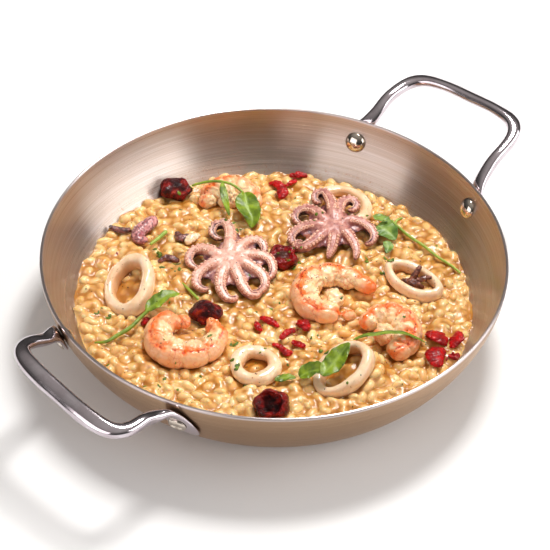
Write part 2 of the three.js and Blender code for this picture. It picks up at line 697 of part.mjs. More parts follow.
// ------------------------------------------------------------------ herbs
/**
 * A leaf as a thin wavy solid along its midrib. Both faces are split into triangles alike. `fold` lifts
 * its edges, `turn` rolls it about the midrib, and `wave` ripples the edge.
 */
function leaf({ rib, half, fold = 0.25, turn = 0, wave = 0.12, thickness = 0.7, steps = 6, lanes = 2 }) {
  const path = new THREE.CatmullRomCurve3(rib.map(over), false, "centripetal");
  const faces = [];
  const top = [];
  const bottom = [];
  for (let k = 0; k <= steps; k++) {
    const share = k / steps;
    const along = path.getTangentAt(share);
    const side = new THREE.Vector3().crossVectors(along, UP).normalize().applyAxisAngle(along, turn);
    const rise = new THREE.Vector3().crossVectors(side, along).normalize();
    const reach = half * Math.max(0.12, Math.sin(Math.PI * Math.pow(0.06 + 0.9 * share, 0.8)));
    for (let i = 0; i <= lanes; i++) {
      const across = (2 * i) / lanes - 1;
      const ripple = wave * across * Math.sin(9 * share + 2 * across);
      const lift = reach * (Math.abs(across) * fold + ripple);
      const point = path.getPointAt(share);
      point.addScaledVector(side, across * reach).addScaledVector(rise, lift);
      top.push(point.clone().addScaledVector(rise, thickness / 2));
      bottom.push(point.clone().addScaledVector(rise, -thickness / 2));
    }
  }
  const row = lanes + 1;
  const under = top.length;
  for (let k = 0; k < steps; k++)
    for (let i = 0; i < lanes; i++) {
      const [a, b, c, d] = [k * row + i, k * row + i + 1, (k + 1) * row + i + 1, (k + 1) * row + i];
      faces.push(a, b, c, a, c, d);
      faces.push(under + a, under + c, under + b, under + a, under + d, under + c);
    }
  const edge = [];
  for (let i = 0; i < lanes; i++) edge.push(i);
  for (let k = 0; k < steps; k++) edge.push(k * row + lanes);
  for (let i = lanes; i > 0; i--) edge.push(steps * row + i);
  for (let k = steps; k > 0; k--) edge.push(k * row);
  edge.forEach((a, i) => {
    const b = edge[(i + 1) % edge.length];
    faces.push(a, under + b, b, a, under + a, under + b);
  });
  return solidOf(geometryOf([...top, ...bottom], faces));
}

function stem(route, wide, steps = 6) {
  return solidOf(bar(route.map(over), { wide, sides: 4, steps }));
}

/** Each sprig is one piece: its stem with the leaves that grow on it. */
const HERBS = {
  sprig_back: () =>
    joined([
      stem(
        [
          [-50, 85.5, 9.6], [-46, 86, 11], [-39, 87, 12.2], [-32, 86.5, 12.6], [-25.5, 84.5, 12],
          [-19, 80, 9.8],
        ],
        [0.8, 0.9, 1, 0.9, 0.8],
      ),
      leaf({ rib: [[-32, 86, 12.6], [-30.5, 76, 11.5], [-27, 64.5, 5]], half: 2.2, fold: 0.1 }),
      leaf({
        rib: [[-18.5, 80.5, 9.6], [-16.5, 69.5, 8], [-13.5, 61.5, 5.5], [-14, 57, 3]],
        half: 7, fold: 0.35, lanes: 4,
      }),
    ]),
  leaf_right_upper: () =>
    leaf({ rib: [[57.5, 67, 6.2], [62.5, 63.2, 6.6], [68.5, 60.8, 5]], half: 4.4, turn: 0.25 }),
  leaf_right_middle: () =>
    leaf({ rib: [[59.5, 58.5, 5.8], [65.5, 54, 5.6], [70, 49, 3.6]], half: 6, turn: -0.2 }),
  leaf_right_lower: () => leaf({ rib: [[63.5, 47.5, 3.4], [65.8, 43.5, 2.8], [64.5, 39, 2]], half: 3 }),
  sprig_right: () =>
    joined([
      stem(
        [
          [67.5, 66, 4.2], [71.5, 60.5, 3.8], [78.5, 52.5, 3.2], [86.5, 45, 2.8], [94, 36.5, 2.4],
          [102, 29, 2.2], [107, 23, 2],
        ],
        [0.9, 0.9, 0.8, 0.7],
      ),
      stem([[69.5, 62.5, 3.8], [71.5, 66, 4.2], [74.5, 68, 4.2]], [0.8, 0.8, 0.7], 3),
    ]),
  sprig_left: () =>
    joined([
      stem(
        [
          [-98, -41.5, 1.5], [-91.5, -41.5, 2.4], [-85, -36.5, 3.2], [-78.5, -31.5, 4.4], [-73, -24.5, 6],
          [-69, -20.5, 7.6],
        ],
        [0.7, 1.2, 1.4, 1.2, 1],
      ),
      leaf({
        rib: [[-70, -21.5, 7.4], [-64, -15, 9.6], [-58.5, -11, 10.2], [-52.5, -8.5, 9.6]],
        half: 5, turn: 0.1,
      }),
    ]),
  stem_middle: () => stem([[-52, 9, 1.8], [-46.5, 1, 2.4], [-42, -5.5, 2.6]], [0.6, 0.9, 0.9], 4),
  blade_right: () =>
    leaf({
      rib: [
        [44.5, -43.5, 11], [49.5, -42.5, 12.8], [57, -41.5, 14.2], [64.5, -40.5, 14.6], [71.5, -40.5, 14],
        [78.5, -40.8, 11.4], [85, -41.3, 8],
      ],
      half: 2.3, fold: 0.1, turn: 0.3, steps: 9,
    }),
  leaf_front_broad: () =>
    leaf({
      rib: [[27.5, -71, 9.8], [33, -64.5, 12], [38.5, -57.5, 15.4], [42, -53.5, 18.2]],
      half: 6, fold: 0.2, lanes: 4,
    }),
  leaf_front_folded: () =>
    leaf({
      rib: [[15.5, -67, 4.2], [20, -65, 6], [25.5, -65, 7.8], [30.5, -67.5, 9]],
      half: 5, fold: 0.5, turn: -0.2,
    }),
  leaf_front_narrow: () =>
    leaf({ rib: [[2, -68, 2.6], [7.5, -67, 3.6], [13.5, -67.5, 4.4]], half: 2.8, fold: 0.1 }),
  chive_left: () => stem([[-72, 39.5, 3.2], [-67.5, 44.3, 3.8], [-63, 51.5, 3.4]], [0.9, 1.1, 1.3], 4),
};

// ------------------------------------------------------------------ rice
/** The rings that lean on mounds of rice: each mound is a slope that follows its ring's underside. */
const PROPPED_RINGS = [SQUID_RINGS.squid_ring_left, SQUID_RINGS.squid_ring_front_right];
const MOUND_MARGIN = 9;

/** How high the bare core stands at a place of the plan. */
function bedHeight(u, v) {
  let height = BED_LEVEL;
  for (const { middle, a, b, band } of PROPPED_RINGS) {
    const [du, dv] = [u - middle[0], v - middle[1]];
    const det = a[0] * b[1] - a[1] * b[0];
    const p = (du * b[1] - dv * b[0]) / det;
    const q = (dv * a[0] - du * a[1]) / det;
    const reach = Math.hypot(p, q);
    const radius = Math.sqrt(Math.abs(det));
    const beyond = Math.max(0, (reach - 1) * radius);
    const shrink = reach > 1 ? 1 / reach : 1;
    const plane = FOOD_LEVEL + middle[2] + (p * a[2] + q * b[2]) * shrink - band - 2 * GAP;
    const fade = Math.max(0, 1 - beyond / MOUND_MARGIN);
    height = Math.max(height, BED_LEVEL + (plane - BED_LEVEL) * fade);
  }
  return height;
}

const BED_RINGS = 19;

/** The rice's flat-based slab over the whole plan, with its surface raised by `lift(u, v, ring, step)`. */
function riceSlab(lift) {
  const outer = PAN.rimRadius;
  const top = [new THREE.Vector3(0, 0, lift(0, 0, 0, 0))];
  const rowStart = [0];
  for (let k = 1; k <= BED_RINGS; k++) {
    rowStart.push(top.length);
    const radius = (FOOD_RADIUS * k) / BED_RINGS;
    for (let i = 0; i < 6 * k; i++) {
      const angle = (2 * Math.PI * i) / (6 * k);
      const [u, v] = [radius * Math.cos(angle), radius * Math.sin(angle)];
      top.push(new THREE.Vector3(u, v, lift(u, v, k, i)));
    }
  }
  const faces = [];
  for (let k = 1; k <= BED_RINGS; k++)
    for (let sector = 0; sector < 6; sector++)
      for (let i = 0; i < k; i++) {
        const near = (n) => (k === 1 ? 0 : rowStart[k - 1] + (((k - 1) * sector + n) % (6 * k - 6)));
        const far = (n) => rowStart[k] + ((k * sector + n) % (6 * k));
        faces.push(far(i), far(i + 1), near(i));
        if (i < k - 1) faces.push(near(i), far(i + 1), near(i + 1));
      }
  const last = rowStart[BED_RINGS];
  const count = 6 * BED_RINGS;
  const points = [...top];
  const foot = points.length;
  for (let i = 0; i < count; i++) points.push(new THREE.Vector3(top[last + i].x, top[last + i].y, -1));
  const hub = points.push(new THREE.Vector3(0, 0, -1)) - 1;
  for (let i = 0; i < count; i++) {
    const j = (i + 1) % count;
    faces.push(last + i, foot + i, foot + j, last + i, foot + j, last + j);
    faces.push(foot + i, hub, foot + j);
  }
  return solidOf(geometryOf(points, faces));
}

/** The space inside the pan that the rice may fill. */
function panSpace() {
  const depth = PAN.wall + PAN.facetSag + GAP;
  const profile = [new THREE.Vector2(0, depth)];
  for (let i = 0; i <= PAN.innerSteps; i++) profile.push(sidePoint(i / PAN.innerSteps, depth));
  profile.push(new THREE.Vector2(0, PAN.height));
  return solidOf(turned(profile, PAN.segments / 2));
}

/** Points along the low edges of the toppings, which the rice beside them keeps clear of. */
function lowPoints(toppings) {
  const found = [];
  for (const solid of toppings) {
    const mesh = solid.getMesh();
    const at = (i) => new THREE.Vector3().fromArray(mesh.vertProperties, i * mesh.numProp);
    for (let t = 0; t < mesh.triVerts.length; t += 3)
      for (let e = 0; e < 3; e++) {
        const a = at(mesh.triVerts[t + e]);
        const b = at(mesh.triVerts[t + ((e + 1) % 3)]);
        const parts = Math.ceil(a.distanceTo(b) / 2);
        for (let n = 0; n < parts; n++) {
          const point = a.clone().lerp(b, n / parts);
          if (point.z < bedHeight(point.x, point.y) + 3.5) found.push(point);
        }
      }
  }
  return found;
}

const FINDER_CELL = 6;
const cellOf = (value) => Math.floor(value / FINDER_CELL);

/** A quick finder of the low points near a place. */
function nearFinder(points) {
  const cells = new Map();
  for (const point of points) {
    const key = cellOf(point.x) + "," + cellOf(point.y);
    if (!cells.has(key)) cells.set(key, []);
    cells.get(key).push(point);
  }
  return (u, v, reach) => {
    const near = [];
    for (let i = cellOf(u - reach); i <= cellOf(u + reach); i++)
      for (let j = cellOf(v - reach); j <= cellOf(v + reach); j++)
        for (const point of cells.get(i + "," + j) ?? [])
          if (Math.hypot(point.x - u, point.y - v) < reach) near.push(point);
    return near;
  };
}

/** The rice: a core whose surface rises in bumps of a grain's size, kept clear of the toppings. */
function riceSolid(toppings) {
  const random = randomStream(20);
  const near = nearFinder(lowPoints(toppings));
  const spacing = FOOD_RADIUS / BED_RINGS;
  const surface = riceSlab((u, v, ring, step) => {
    const bed = bedHeight(u, v);
    const crest = (ring + (ring ? step % ring : 0)) % 3 === 0;
    const wanted = crest ? BUMP.crest + BUMP.spread * random() : BUMP.saddle * random() ** 2;
    const room = near(u, v, spacing).reduce((least, p) => Math.min(least, p.z - 2 * GAP), PAN.height);
    return Math.max(BED_LEVEL - 0.1, Math.min(bed + wanted, room));
  });
  return mainBody(surface.intersect(panSpace()));
}

// ------------------------------------------------------------------ assembly
/** Every topping with its finish, from the ones that lie lowest to the ones on top. */
function toppingList() {
  const list = [];
  const lay = (pieces, make, material) => {
    for (const [name, piece] of Object.entries(pieces)) list.push({ name, solid: make(piece), material });
  };
  lay(SQUID_RINGS, squidRing, FINISH.squid);
  lay(PRAWNS, prawn, FINISH.prawn);
  lay(OCTOPUSES, octopus, FINISH.octopus);
  lay(TOMATOES, wrinkled, FINISH.roastTomato);
  lay(DRIED_TOMATO_CUP, wrinkled, FINISH.driedTomato);
  lay(TENTACLES, shred, FINISH.darkTentacle);
  lay({ tentacle_bunch: null }, tentacleBunch, FINISH.darkTentacle);
  lay(DRIED_TOMATO_SHREDS, shred, FINISH.driedTomato);
  lay(HERBS, (make) => make(), FINISH.leaf);
  return list;
}

/** Cuts each topping off at the bare core, and clear of the toppings laid before it. */
function settled(list) {
  const depth = BED_LEVEL + GAP;
  const bed = solidOf(
    new THREE.BoxGeometry(2 * PAN.rimRadius, 2 * PAN.rimRadius, depth).translate(0, 0, depth / 2),
  );
  const pan = panSolid();
  const placed = [];
  for (const piece of list) {
    let { solid } = piece;
    solid = solid.subtract(bed);
    if (solid.intersect(pan).volume() > 0) solid = solid.subtract(grown(pan, GAP));
    for (const other of placed)
      if (solid.intersect(other.grown).volume() > 0) solid = solid.subtract(other.grown);
    solid = mainBody(solid);
    placed.push({ ...piece, solid, grown: grown(solid, GAP) });
  }
  return placed;
}

function meshOf(name, solid, material) {
  const mesh = new THREE.Mesh(geometryFrom(solid), material);
  mesh.name = name;
  return mesh;
}

const part = new THREE.Group();
const panGroup = new THREE.Group();
const holes = joined(rivetAngles.map(rivetHole));
panGroup.add(meshOf("pan", panSolid().subtract(holes), FINISH.brushedSteel));
for (const [name, handle] of Object.entries(HANDLES))
  panGroup.add(meshOf(name, handleSolid(handle), FINISH.polishedSteel));
rivetAngles.forEach((angle, i) =>
  panGroup.add(meshOf(`rivet_${i + 1}`, rivetSolid(angle), FINISH.polishedSteel)),
);

const food = new THREE.Group();
food.rotation.z = PLAN_TURN;
const toppings = settled(toppingList());
food.add(meshOf("risotto", riceSolid(toppings.map((t) => t.solid)), FINISH.rice));
for (const { name, solid, material } of toppings) food.add(meshOf(name, solid, material));

part.add(panGroup, food);
export default part;
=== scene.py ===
"""A two-handled steel pan of seafood risotto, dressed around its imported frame.

Sizes are in millimetres until a mesh is made. The pan stands on z = 0 with its handles along X. The food is
laid out in a plan of its own, with u to the right and v away from the pan's front, turned by PLAN_TURN.
"""
from __future__ import annotations

import logging
import math
from dataclasses import dataclass, field
from enum import Enum
from typing import Iterator, Sequence

import bmesh
import bpy
import numpy as np
from mathutils import Matrix, Vector, noise
from mathutils.bvhtree import BVHTree
from mathutils.kdtree import KDTree


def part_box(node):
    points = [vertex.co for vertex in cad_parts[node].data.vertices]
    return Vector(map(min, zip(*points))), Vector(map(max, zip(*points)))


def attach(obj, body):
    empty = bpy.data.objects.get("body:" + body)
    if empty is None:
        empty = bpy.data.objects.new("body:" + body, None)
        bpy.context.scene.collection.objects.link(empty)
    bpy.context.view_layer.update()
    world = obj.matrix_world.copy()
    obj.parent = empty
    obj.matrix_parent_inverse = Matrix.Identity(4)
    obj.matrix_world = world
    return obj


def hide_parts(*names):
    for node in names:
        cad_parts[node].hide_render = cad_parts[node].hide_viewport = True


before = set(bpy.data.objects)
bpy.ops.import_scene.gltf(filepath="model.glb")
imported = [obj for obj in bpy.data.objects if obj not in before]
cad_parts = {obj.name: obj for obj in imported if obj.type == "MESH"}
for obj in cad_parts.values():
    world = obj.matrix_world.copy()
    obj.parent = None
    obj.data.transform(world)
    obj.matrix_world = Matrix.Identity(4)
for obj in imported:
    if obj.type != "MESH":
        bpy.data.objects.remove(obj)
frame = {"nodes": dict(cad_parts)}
log = logging.getLogger("risotto_pan")

Array = np.ndarray
Material = bpy.types.Material
Piece = bpy.types.Object
Socket = bpy.types.NodeSocket
Node = bpy.types.Node
NodeTree = bpy.types.NodeTree
Colour = tuple[float, float, float]
Place = tuple[float, float, float]
Paint = tuple[float, float, float, float]
Route = Sequence[Sequence[float]]

METRE = 0.001
BODY = "root"
UP = np.array([0.0, 0.0, 1.0])
PLAN_TURN = math.radians(-47.9)
FOOD_LEVEL = 15.8
BED_LEVEL = 15.0
FOOD_RADIUS = 112.6


class Layer(Enum):
    """Names of the vertex attributes that carry a piece's own pattern, and on some pieces painted shade and
    highlight.
    """

    TINT = "tint"
    DEEP = "deep"
    RIDGE = "ridge"
    INSIDE = "inside"


# ---- numbers and curves
def clamp(values: Array) -> Array:
    """Holds values between 0 and 1."""
    return np.clip(values, 0.0, 1.0)


def unit(vectors: Array) -> Array:
    """Scales vectors to length one."""
    length = np.linalg.norm(vectors, axis=-1, keepdims=True)
    return vectors / np.maximum(length, 1e-9)


def over(route: Route) -> Array:
    """Places of the plan, given as u, v and height above the rice, as points with their real height."""
    return np.asarray(route, float) + np.array([0.0, 0.0, FOOD_LEVEL])


def from_plan(points: Array) -> Array:
    """Turns points of the food's plan into the pan's own frame."""
    cos, sin = math.cos(PLAN_TURN), math.sin(PLAN_TURN)
    turned = points.copy()
    turned[:, 0] = points[:, 0] * cos - points[:, 1] * sin
    turned[:, 1] = points[:, 0] * sin + points[:, 1] * cos
    return turned


def to_plan(points: Array) -> Array:
    """Turns points of the pan's frame back into the food's plan."""
    cos, sin = math.cos(PLAN_TURN), math.sin(PLAN_TURN)
    turned = points.copy()
    turned[:, 0] = points[:, 0] * cos + points[:, 1] * sin
    turned[:, 1] = -points[:, 0] * sin + points[:, 1] * cos
    return turned


def spread(keys: Sequence[float], shares: Array) -> Array:
    """Reads key values that stand evenly from 0 to 1, with soft turns between them."""
    keys = np.asarray(keys, float)
    places = np.linspace(0.0, 1.0, len(keys))
    fine = np.linspace(0.0, 1.0, 201)
    values = np.interp(fine, places, keys)
    width = max(3, int(60 / max(len(keys) - 1, 1)) | 1)
    kernel = np.hanning(width + 2)[1:-1]
    padded = np.pad(values, width // 2, mode="edge")
    soft = np.convolve(padded, kernel / kernel.sum(), mode="valid")
    return np.interp(shares, fine, soft)


def curve_through(route: Array, steps: int) -> Array:
    """Follows a smooth centripetal curve through a route.

    Args:
        route: the points that the curve passes through.
        steps: how many even spans the result has.

    Returns:
        The steps + 1 points, evenly spaced along the curve.
    """
    first = 2 * route[0] - route[1]
    last = 2 * route[-1] - route[-2]
    keys = np.vstack([first, route, last])
    fine: list[Array] = []
    share = np.linspace(0.0, 1.0, 25)[:, None]
    for a, b, c, d in zip(keys, keys[1:], keys[2:], keys[3:]):
        ab, bc, cd = (max(np.linalg.norm(q - p) ** 0.5, 1e-3) for p, q in ((a, b), (b, c), (c, d)))
        leave = ((b - a) / ab - (c - a) / (ab + bc) + (c - b) / bc) * bc
        arrive = ((c - b) / bc - (d - b) / (bc + cd) + (d - c) / cd) * bc
        square, cube = share**2, share**3
        fine.append(
            b * (2 * cube - 3 * square + 1) + leave * (cube - 2 * square + share)
            + c * (3 * square - 2 * cube) + arrive * (cube - square)
        )
    line = np.vstack(fine)
    reach = np.concatenate([[0.0], np.cumsum(np.linalg.norm(np.diff(line, axis=0), axis=1))])
    wanted = np.linspace(0.0, reach[-1], steps + 1)
    return np.stack([np.interp(wanted, reach, line[:, i]) for i in range(3)], axis=1)


def tangents(line: Array) -> Array:
    """The directions of a line at each of its points."""
    return unit(np.gradient(line, axis=0))


def ripple(points: Array, size: float, seed: float = 0.0, octaves: int = 3) -> Array:
    """Smooth noise of about -1 to 1 at many points, with bumps of about a given size."""
    offset = Vector((seed * 7.31, seed * 3.17, seed * 5.71))
    values = [noise.fractal(Vector(p) / size + offset, 0.9, 2.0, octaves) for p in points.tolist()]
    return np.asarray(values)


# ---- skins
@dataclass
class Skin:
    """A closed mesh under construction: its points, its faces and the patterns on its points."""

    points: Array
    faces: list[tuple[int, ...]]
    marks: dict[Layer, Array] = field(default_factory=dict)


def ring_skin(rings: Array, endless: bool = False) -> Skin:
    """Joins rings of equally many points into a closed skin.

    Args:
        rings: an array of ring, point and coordinate.
        endless: whether the last ring joins the first, in place of two closed ends.

    Returns:
        The skin, with its faces pointing outwards for rings that turn left about their route.
    """
    count, sides = rings.shape[:2]
    points = rings.reshape(-1, 3)
    faces: list[tuple[int, ...]] = []
    for k in range(count if endless else count - 1):
        low, high = k * sides, ((k + 1) % count) * sides
        for i in range(sides):
            j = (i + 1) % sides
            faces.append((low + i, low + j, high + j, high + i))
    if not endless:
        ends = np.vstack([rings[0].mean(axis=0), rings[-1].mean(axis=0)])
        hub = len(points)
        points = np.vstack([points, ends])
        top = (count - 1) * sides
        for i in range(sides):
            j = (i + 1) % sides
            faces.append((hub, j, i))
            faces.append((hub + 1, top + i, top + j))
    return Skin(points, faces)


def boxed(values: Array, power: float) -> Array:
    """Sines or cosines whose section is rounder or boxier by a power."""
    return np.sign(values) * np.abs(values) ** power


def swept(
    line: Array, side: Array, rise: Array, wide: Array, high: Array, across: Array, upward: Array
) -> Array:
    """Rings of one section along a line.

    Args:
        line: the middle of each ring.
        side, rise: the two directions across the line at each ring.
        wide, high: the half sizes of each ring along those directions.
        across, upward: the section's points, from -1 to 1.

    Returns:
        The points, as an array of ring, point and coordinate.
    """
    return (
        line[:, None, :]
        + side[:, None, :] * wide[:, None, None] * across[None, :, None]
        + rise[:, None, :] * high[:, None, None] * upward[None, :, None]
    )


def cross_frames(line: Array, turn: float = 0.0) -> tuple[Array, Array]:
    """The sideways and upward directions across a line, rolled about it by an angle."""
    along = tangents(line)
    side = unit(np.cross(along, UP))
    rise = np.cross(side, along)
    return side * math.cos(turn) + rise * math.sin(turn), rise * math.cos(turn) - side * math.sin(turn)


def tube(
    route: Route, wide: Sequence[float], high: Sequence[float] | None = None, sides: int = 20,
    steps: int = 60, turn: float = 0.0,
) -> Skin:
    """A rounded bar along a route of the plan, with softly rounded ends.

    Args:
        route: points of plan and height.
        wide: half widths read evenly along the route.
        high: half heights, or the widths where there are none.
        sides: points round the bar.
        steps: rings along it.
        turn: roll about the route.

    Returns:
        The closed skin.
    """
    line = curve_through(over(route), steps)
    share = np.linspace(0.0, 1.0, steps + 1)
    side, rise = cross_frames(line, turn)
    half_wide = spread(wide, share)
    half_high = half_wide if high is None else spread(high, share)
    blunt = (half_wide[0] + half_wide[-1]) / 2
    length = np.linalg.norm(np.diff(line, axis=0), axis=1).sum()
    near = clamp(np.minimum(share, 1 - share) * length / max(blunt, 0.1))
    close = np.sqrt(np.clip(1 - (1 - near) ** 2, 0.02, 1.0))
    angle = np.linspace(0.0, 2 * math.pi, sides, endpoint=False)
    rings = swept(line, side, rise, half_wide * close, half_high * close, np.cos(angle), np.sin(angle))
    return ring_skin(rings)


def icosphere(rounds: int) -> Skin:
    """A ball of radius one about the origin."""
    made = bmesh.new()
    bmesh.ops.create_icosphere(made, subdivisions=rounds, radius=1.0)
    points = np.array([v.co[:] for v in made.verts])
    faces = [tuple(v.index for v in f.verts) for f in made.faces]
    made.free()
    return Skin(points, faces)


def ball(middle: Sequence[float], size: Sequence[float], rounds: int = 3) -> Skin:
    """A stretched ball at a place of the plan."""
    made = icosphere(rounds)
    made.points = made.points * np.asarray(size, float) + over([middle])[0]
    return made


def nearest(keys: Array, points: Array) -> Array:
    """The number of the key place that is nearest to each point."""
    tree = KDTree(len(keys))
    for k, place in enumerate(keys.tolist()):
        tree.insert(place, k)
    tree.balance()
    return np.array([tree.find(place)[1] for place in points.tolist()])


def together(skins: Sequence[Skin]) -> Skin:
    """Puts several skins into one, each with its own points."""
    points = np.vstack([skin.points for skin in skins])
    faces: list[tuple[int, ...]] = []
    start = 0
    for skin in skins:
        faces.extend(tuple(i + start for i in face) for face in skin.faces)
        start += len(skin.points)
    shared = set.intersection(*(set(skin.marks) for skin in skins))
    marks = {layer: np.concatenate([skin.marks[layer] for skin in skins]) for layer in shared}
    return Skin(points, faces, marks)


def raw_mesh(name: str, skin: Skin) -> bpy.types.Mesh:
    """A mesh in metres from a skin that is in millimetres in the pan's frame."""
    mesh = bpy.data.meshes.new(name)
    mesh.from_pydata((skin.points * METRE).tolist(), [], skin.faces)
    mesh.validate()
    for layer, values in skin.marks.items():
        attribute = mesh.attributes.new(layer.value, "FLOAT", "POINT")
        attribute.data.foreach_set("value", np.asarray(values, np.float32))
    mesh.shade_smooth()
    return mesh


def link_object(name: str, mesh: bpy.types.Mesh) -> Piece:
    """Puts a mesh into the scene as an object at the origin."""
    made = bpy.data.objects.new(name, mesh)
    bpy.context.scene.collection.objects.link(made)
    return made


def baked(source: Piece, name: str) -> bpy.types.Mesh:
    """The mesh of an object after its modifiers."""
    graph = bpy.context.evaluated_depsgraph_get()
    mesh = bpy.data.meshes.new_from_object(source.evaluated_get(graph))
    mesh.name = name
    return mesh


def melted(skins: Sequence[Skin], voxel: float, smooth: int = 4) -> Skin:
    """Melts overlapping skins into one even surface.

    Args:
        skins: closed skins in millimetres.
        voxel: the size of the new faces.
        smooth: how many times the surface is evened out.

    Returns:
        The new skin, without marks.
    """
    joined = together(skins)
    source = link_object("melt", raw_mesh("melt", Skin(joined.points, joined.faces)))
    remesh = source.modifiers.new("melt", "REMESH")
    remesh.mode = "VOXEL"
    remesh.voxel_size = voxel * METRE
    even = source.modifiers.new("even", "SMOOTH")
    even.factor = 0.5
    even.iterations = smooth
    mesh = baked(source, "melted")
    points = np.empty(len(mesh.vertices) * 3, np.float32)
    mesh.vertices.foreach_get("co", points)
    faces = [tuple(p.vertices) for p in mesh.polygons]
    old = source.data
    bpy.data.objects.remove(source)
    bpy.data.meshes.remove(old)
    bpy.data.meshes.remove(mesh)
    return Skin(points.reshape(-1, 3).astype(float) / METRE, faces)


def skin_normals(skin: Skin) -> Array:
    """The outward direction at each point of a skin."""
    mesh = raw_mesh("normals", Skin(skin.points, skin.faces))
    found = np.empty(len(mesh.vertices) * 3, np.float32)
    mesh.vertices.foreach_get("normal", found)
    bpy.data.meshes.remove(mesh)
    return found.reshape(-1, 3).astype(float)


def pushed(skin: Skin, amount: Array) -> Skin:
    """Moves a skin's points out along its normals by an amount each."""
    return Skin(skin.points + skin_normals(skin) * amount[:, None], skin.faces, skin.marks)


# ---- pieces
@dataclass
class Kitchen:
    """Adds finished pieces to the scene and keeps count of them."""

    made: list[str] = field(default_factory=list)

    def serve(
        self, name: str, skin: Skin, finish: Material, slot: str, nodes: Sequence[str] = (),
        plan: bool = True,
    ) -> None:
        """Makes a piece from a skin and rides it on the pan's body.

        Args:
            name: the piece's name.
            skin: its shape, in the food's plan or in the pan's frame.
            finish: its material.
            slot: not used.
            nodes: the solids that it stands for.
            plan: whether the skin is in the food's plan.
        """
        points = from_plan(skin.points) if plan else skin.points
        mesh = raw_mesh(name, Skin(points, skin.faces, skin.marks))
        self.dish_up(name, mesh, finish, slot, nodes)

    def dish_up(
        self, name: str, mesh: bpy.types.Mesh, finish: Material, slot: str,
        nodes: Sequence[str] = (),
    ) -> None:
        """Finishes a piece whose mesh is ready. The arguments are as those of serve."""
        mesh.name = name
        mesh.materials.clear()
        mesh.materials.append(finish)
        piece = link_object(name, mesh)
        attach(piece, BODY)
        if nodes:
            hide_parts(*nodes)
        self.made.append(name)
        mesh.calc_loop_triangles()
        log.info("%s: %d triangles", name, len(mesh.loop_triangles))


# ---- shader tools
def srgb(red: int, green: int, blue: int) -> Paint:
    """A colour as seen on a screen, from 0 to 255, as the linear values of a shader."""
    linear = [((c / 255 + 0.055) / 1.055) ** 2.4 if c > 10 else c / 255 / 12.92 for c in (red, green, blue)]
    return (linear[0], linear[1], linear[2], 1.0)


@dataclass
class Graph:
    """Short calls that add nodes to a material or a group."""

    tree: NodeTree

    def add(self, kind: str, **settings: object) -> Node:
        """Adds a node of a kind and sets its properties."""
        made = self.tree.nodes.new(kind)
        for name, value in settings.items():
            setattr(made, name, value)
        return made

    def feed(self, socket: Socket, source: object) -> None:
        """Links a socket, or sets its value."""
        if isinstance(source, Socket):
            self.tree.links.new(source, socket)
        else:
            socket.default_value = source

    def place(self) -> Socket:
        """Coordinates in metres on the piece."""
        return self.add("ShaderNodeTexCoord").outputs["Object"]

    def mark(self, layer: Layer) -> Socket:
        """A piece's vertex pattern, which carries its own colour on some pieces and painted shade and
        highlight on others.
        """
        return self.add("ShaderNodeAttribute", attribute_name=layer.value).outputs["Fac"]

    def math(self, operation: str, first: object, second: object = 0.0) -> Socket:
        """One sum of two values."""
        made = self.add("ShaderNodeMath", operation=operation)
        self.feed(made.inputs[0], first)
        self.feed(made.inputs[1], second)
        return made.outputs[0]

    def product(self, first: object, *others: object) -> Socket:
        """The product of two or more values."""
        for other in others:
            first = self.math("MULTIPLY", first, other)
        return first

    def noise(
        self, scale: float, detail: float = 2.0, rough: float = 0.5, where: Socket | None = None,
        warp: float = 0.0,
    ) -> Socket:
        """Cloudy noise of a scale per metre."""
        made = self.add("ShaderNodeTexNoise")
        self.feed(made.inputs["Vector"], where or self.place())
        made.inputs["Scale"].default_value = scale
        made.inputs["Detail"].default_value = detail
        made.inputs["Roughness"].default_value = rough
        made.inputs["Distortion"].default_value = warp
        return made.outputs["Fac"]

    def cell_edges(self, scale: float) -> Socket:
        """The distance to the edges of scattered cells, at a scale per metre."""
        made = self.add("ShaderNodeTexVoronoi", feature="DISTANCE_TO_EDGE")
        self.feed(made.inputs["Vector"], self.place())
        made.inputs["Scale"].default_value = scale
        return made.outputs["Distance"]

    def remap(
        self, value: Socket, low: float, high: float, to_low: float = 0.0, to_high: float = 1.0
    ) -> Socket:
        """Spreads a range of a value onto another, and stops at its ends."""
        made = self.add("ShaderNodeMapRange")
        self.feed(made.inputs["Value"], value)
        for name, number in (("From Min", low), ("From Max", high), ("To Min", to_low), ("To Max", to_high)):
            made.inputs[name].default_value = number
        return made.outputs["Result"]

    def blend(self, share: object, first: object, second: object) -> Socket:
        """Mixes two colours."""
        made = self.add("ShaderNodeMix", data_type="RGBA", blend_type="MIX")
        self.feed(made.inputs[0], share)
        self.feed(made.inputs[6], first)
        self.feed(made.inputs[7], second)
        return made.outputs[2]

    def bump(self, height: Socket, depth: float, strength: float) -> Socket:
        """Raises the surface by a height of a depth in metres."""
        made = self.add("ShaderNodeBump")
        self.feed(made.inputs["Height"], height)
        made.inputs["Distance"].default_value = depth
        made.inputs["Strength"].default_value = strength
        return made.outputs["Normal"]

    def group(self, tree: NodeTree, **values: object) -> Node:
        """Places a shared group with its own values."""
        made = self.add("ShaderNodeGroup", node_tree=tree)
        for name, value in values.items():
            self.feed(made.inputs[name.replace("_", " ")], value)
        return made


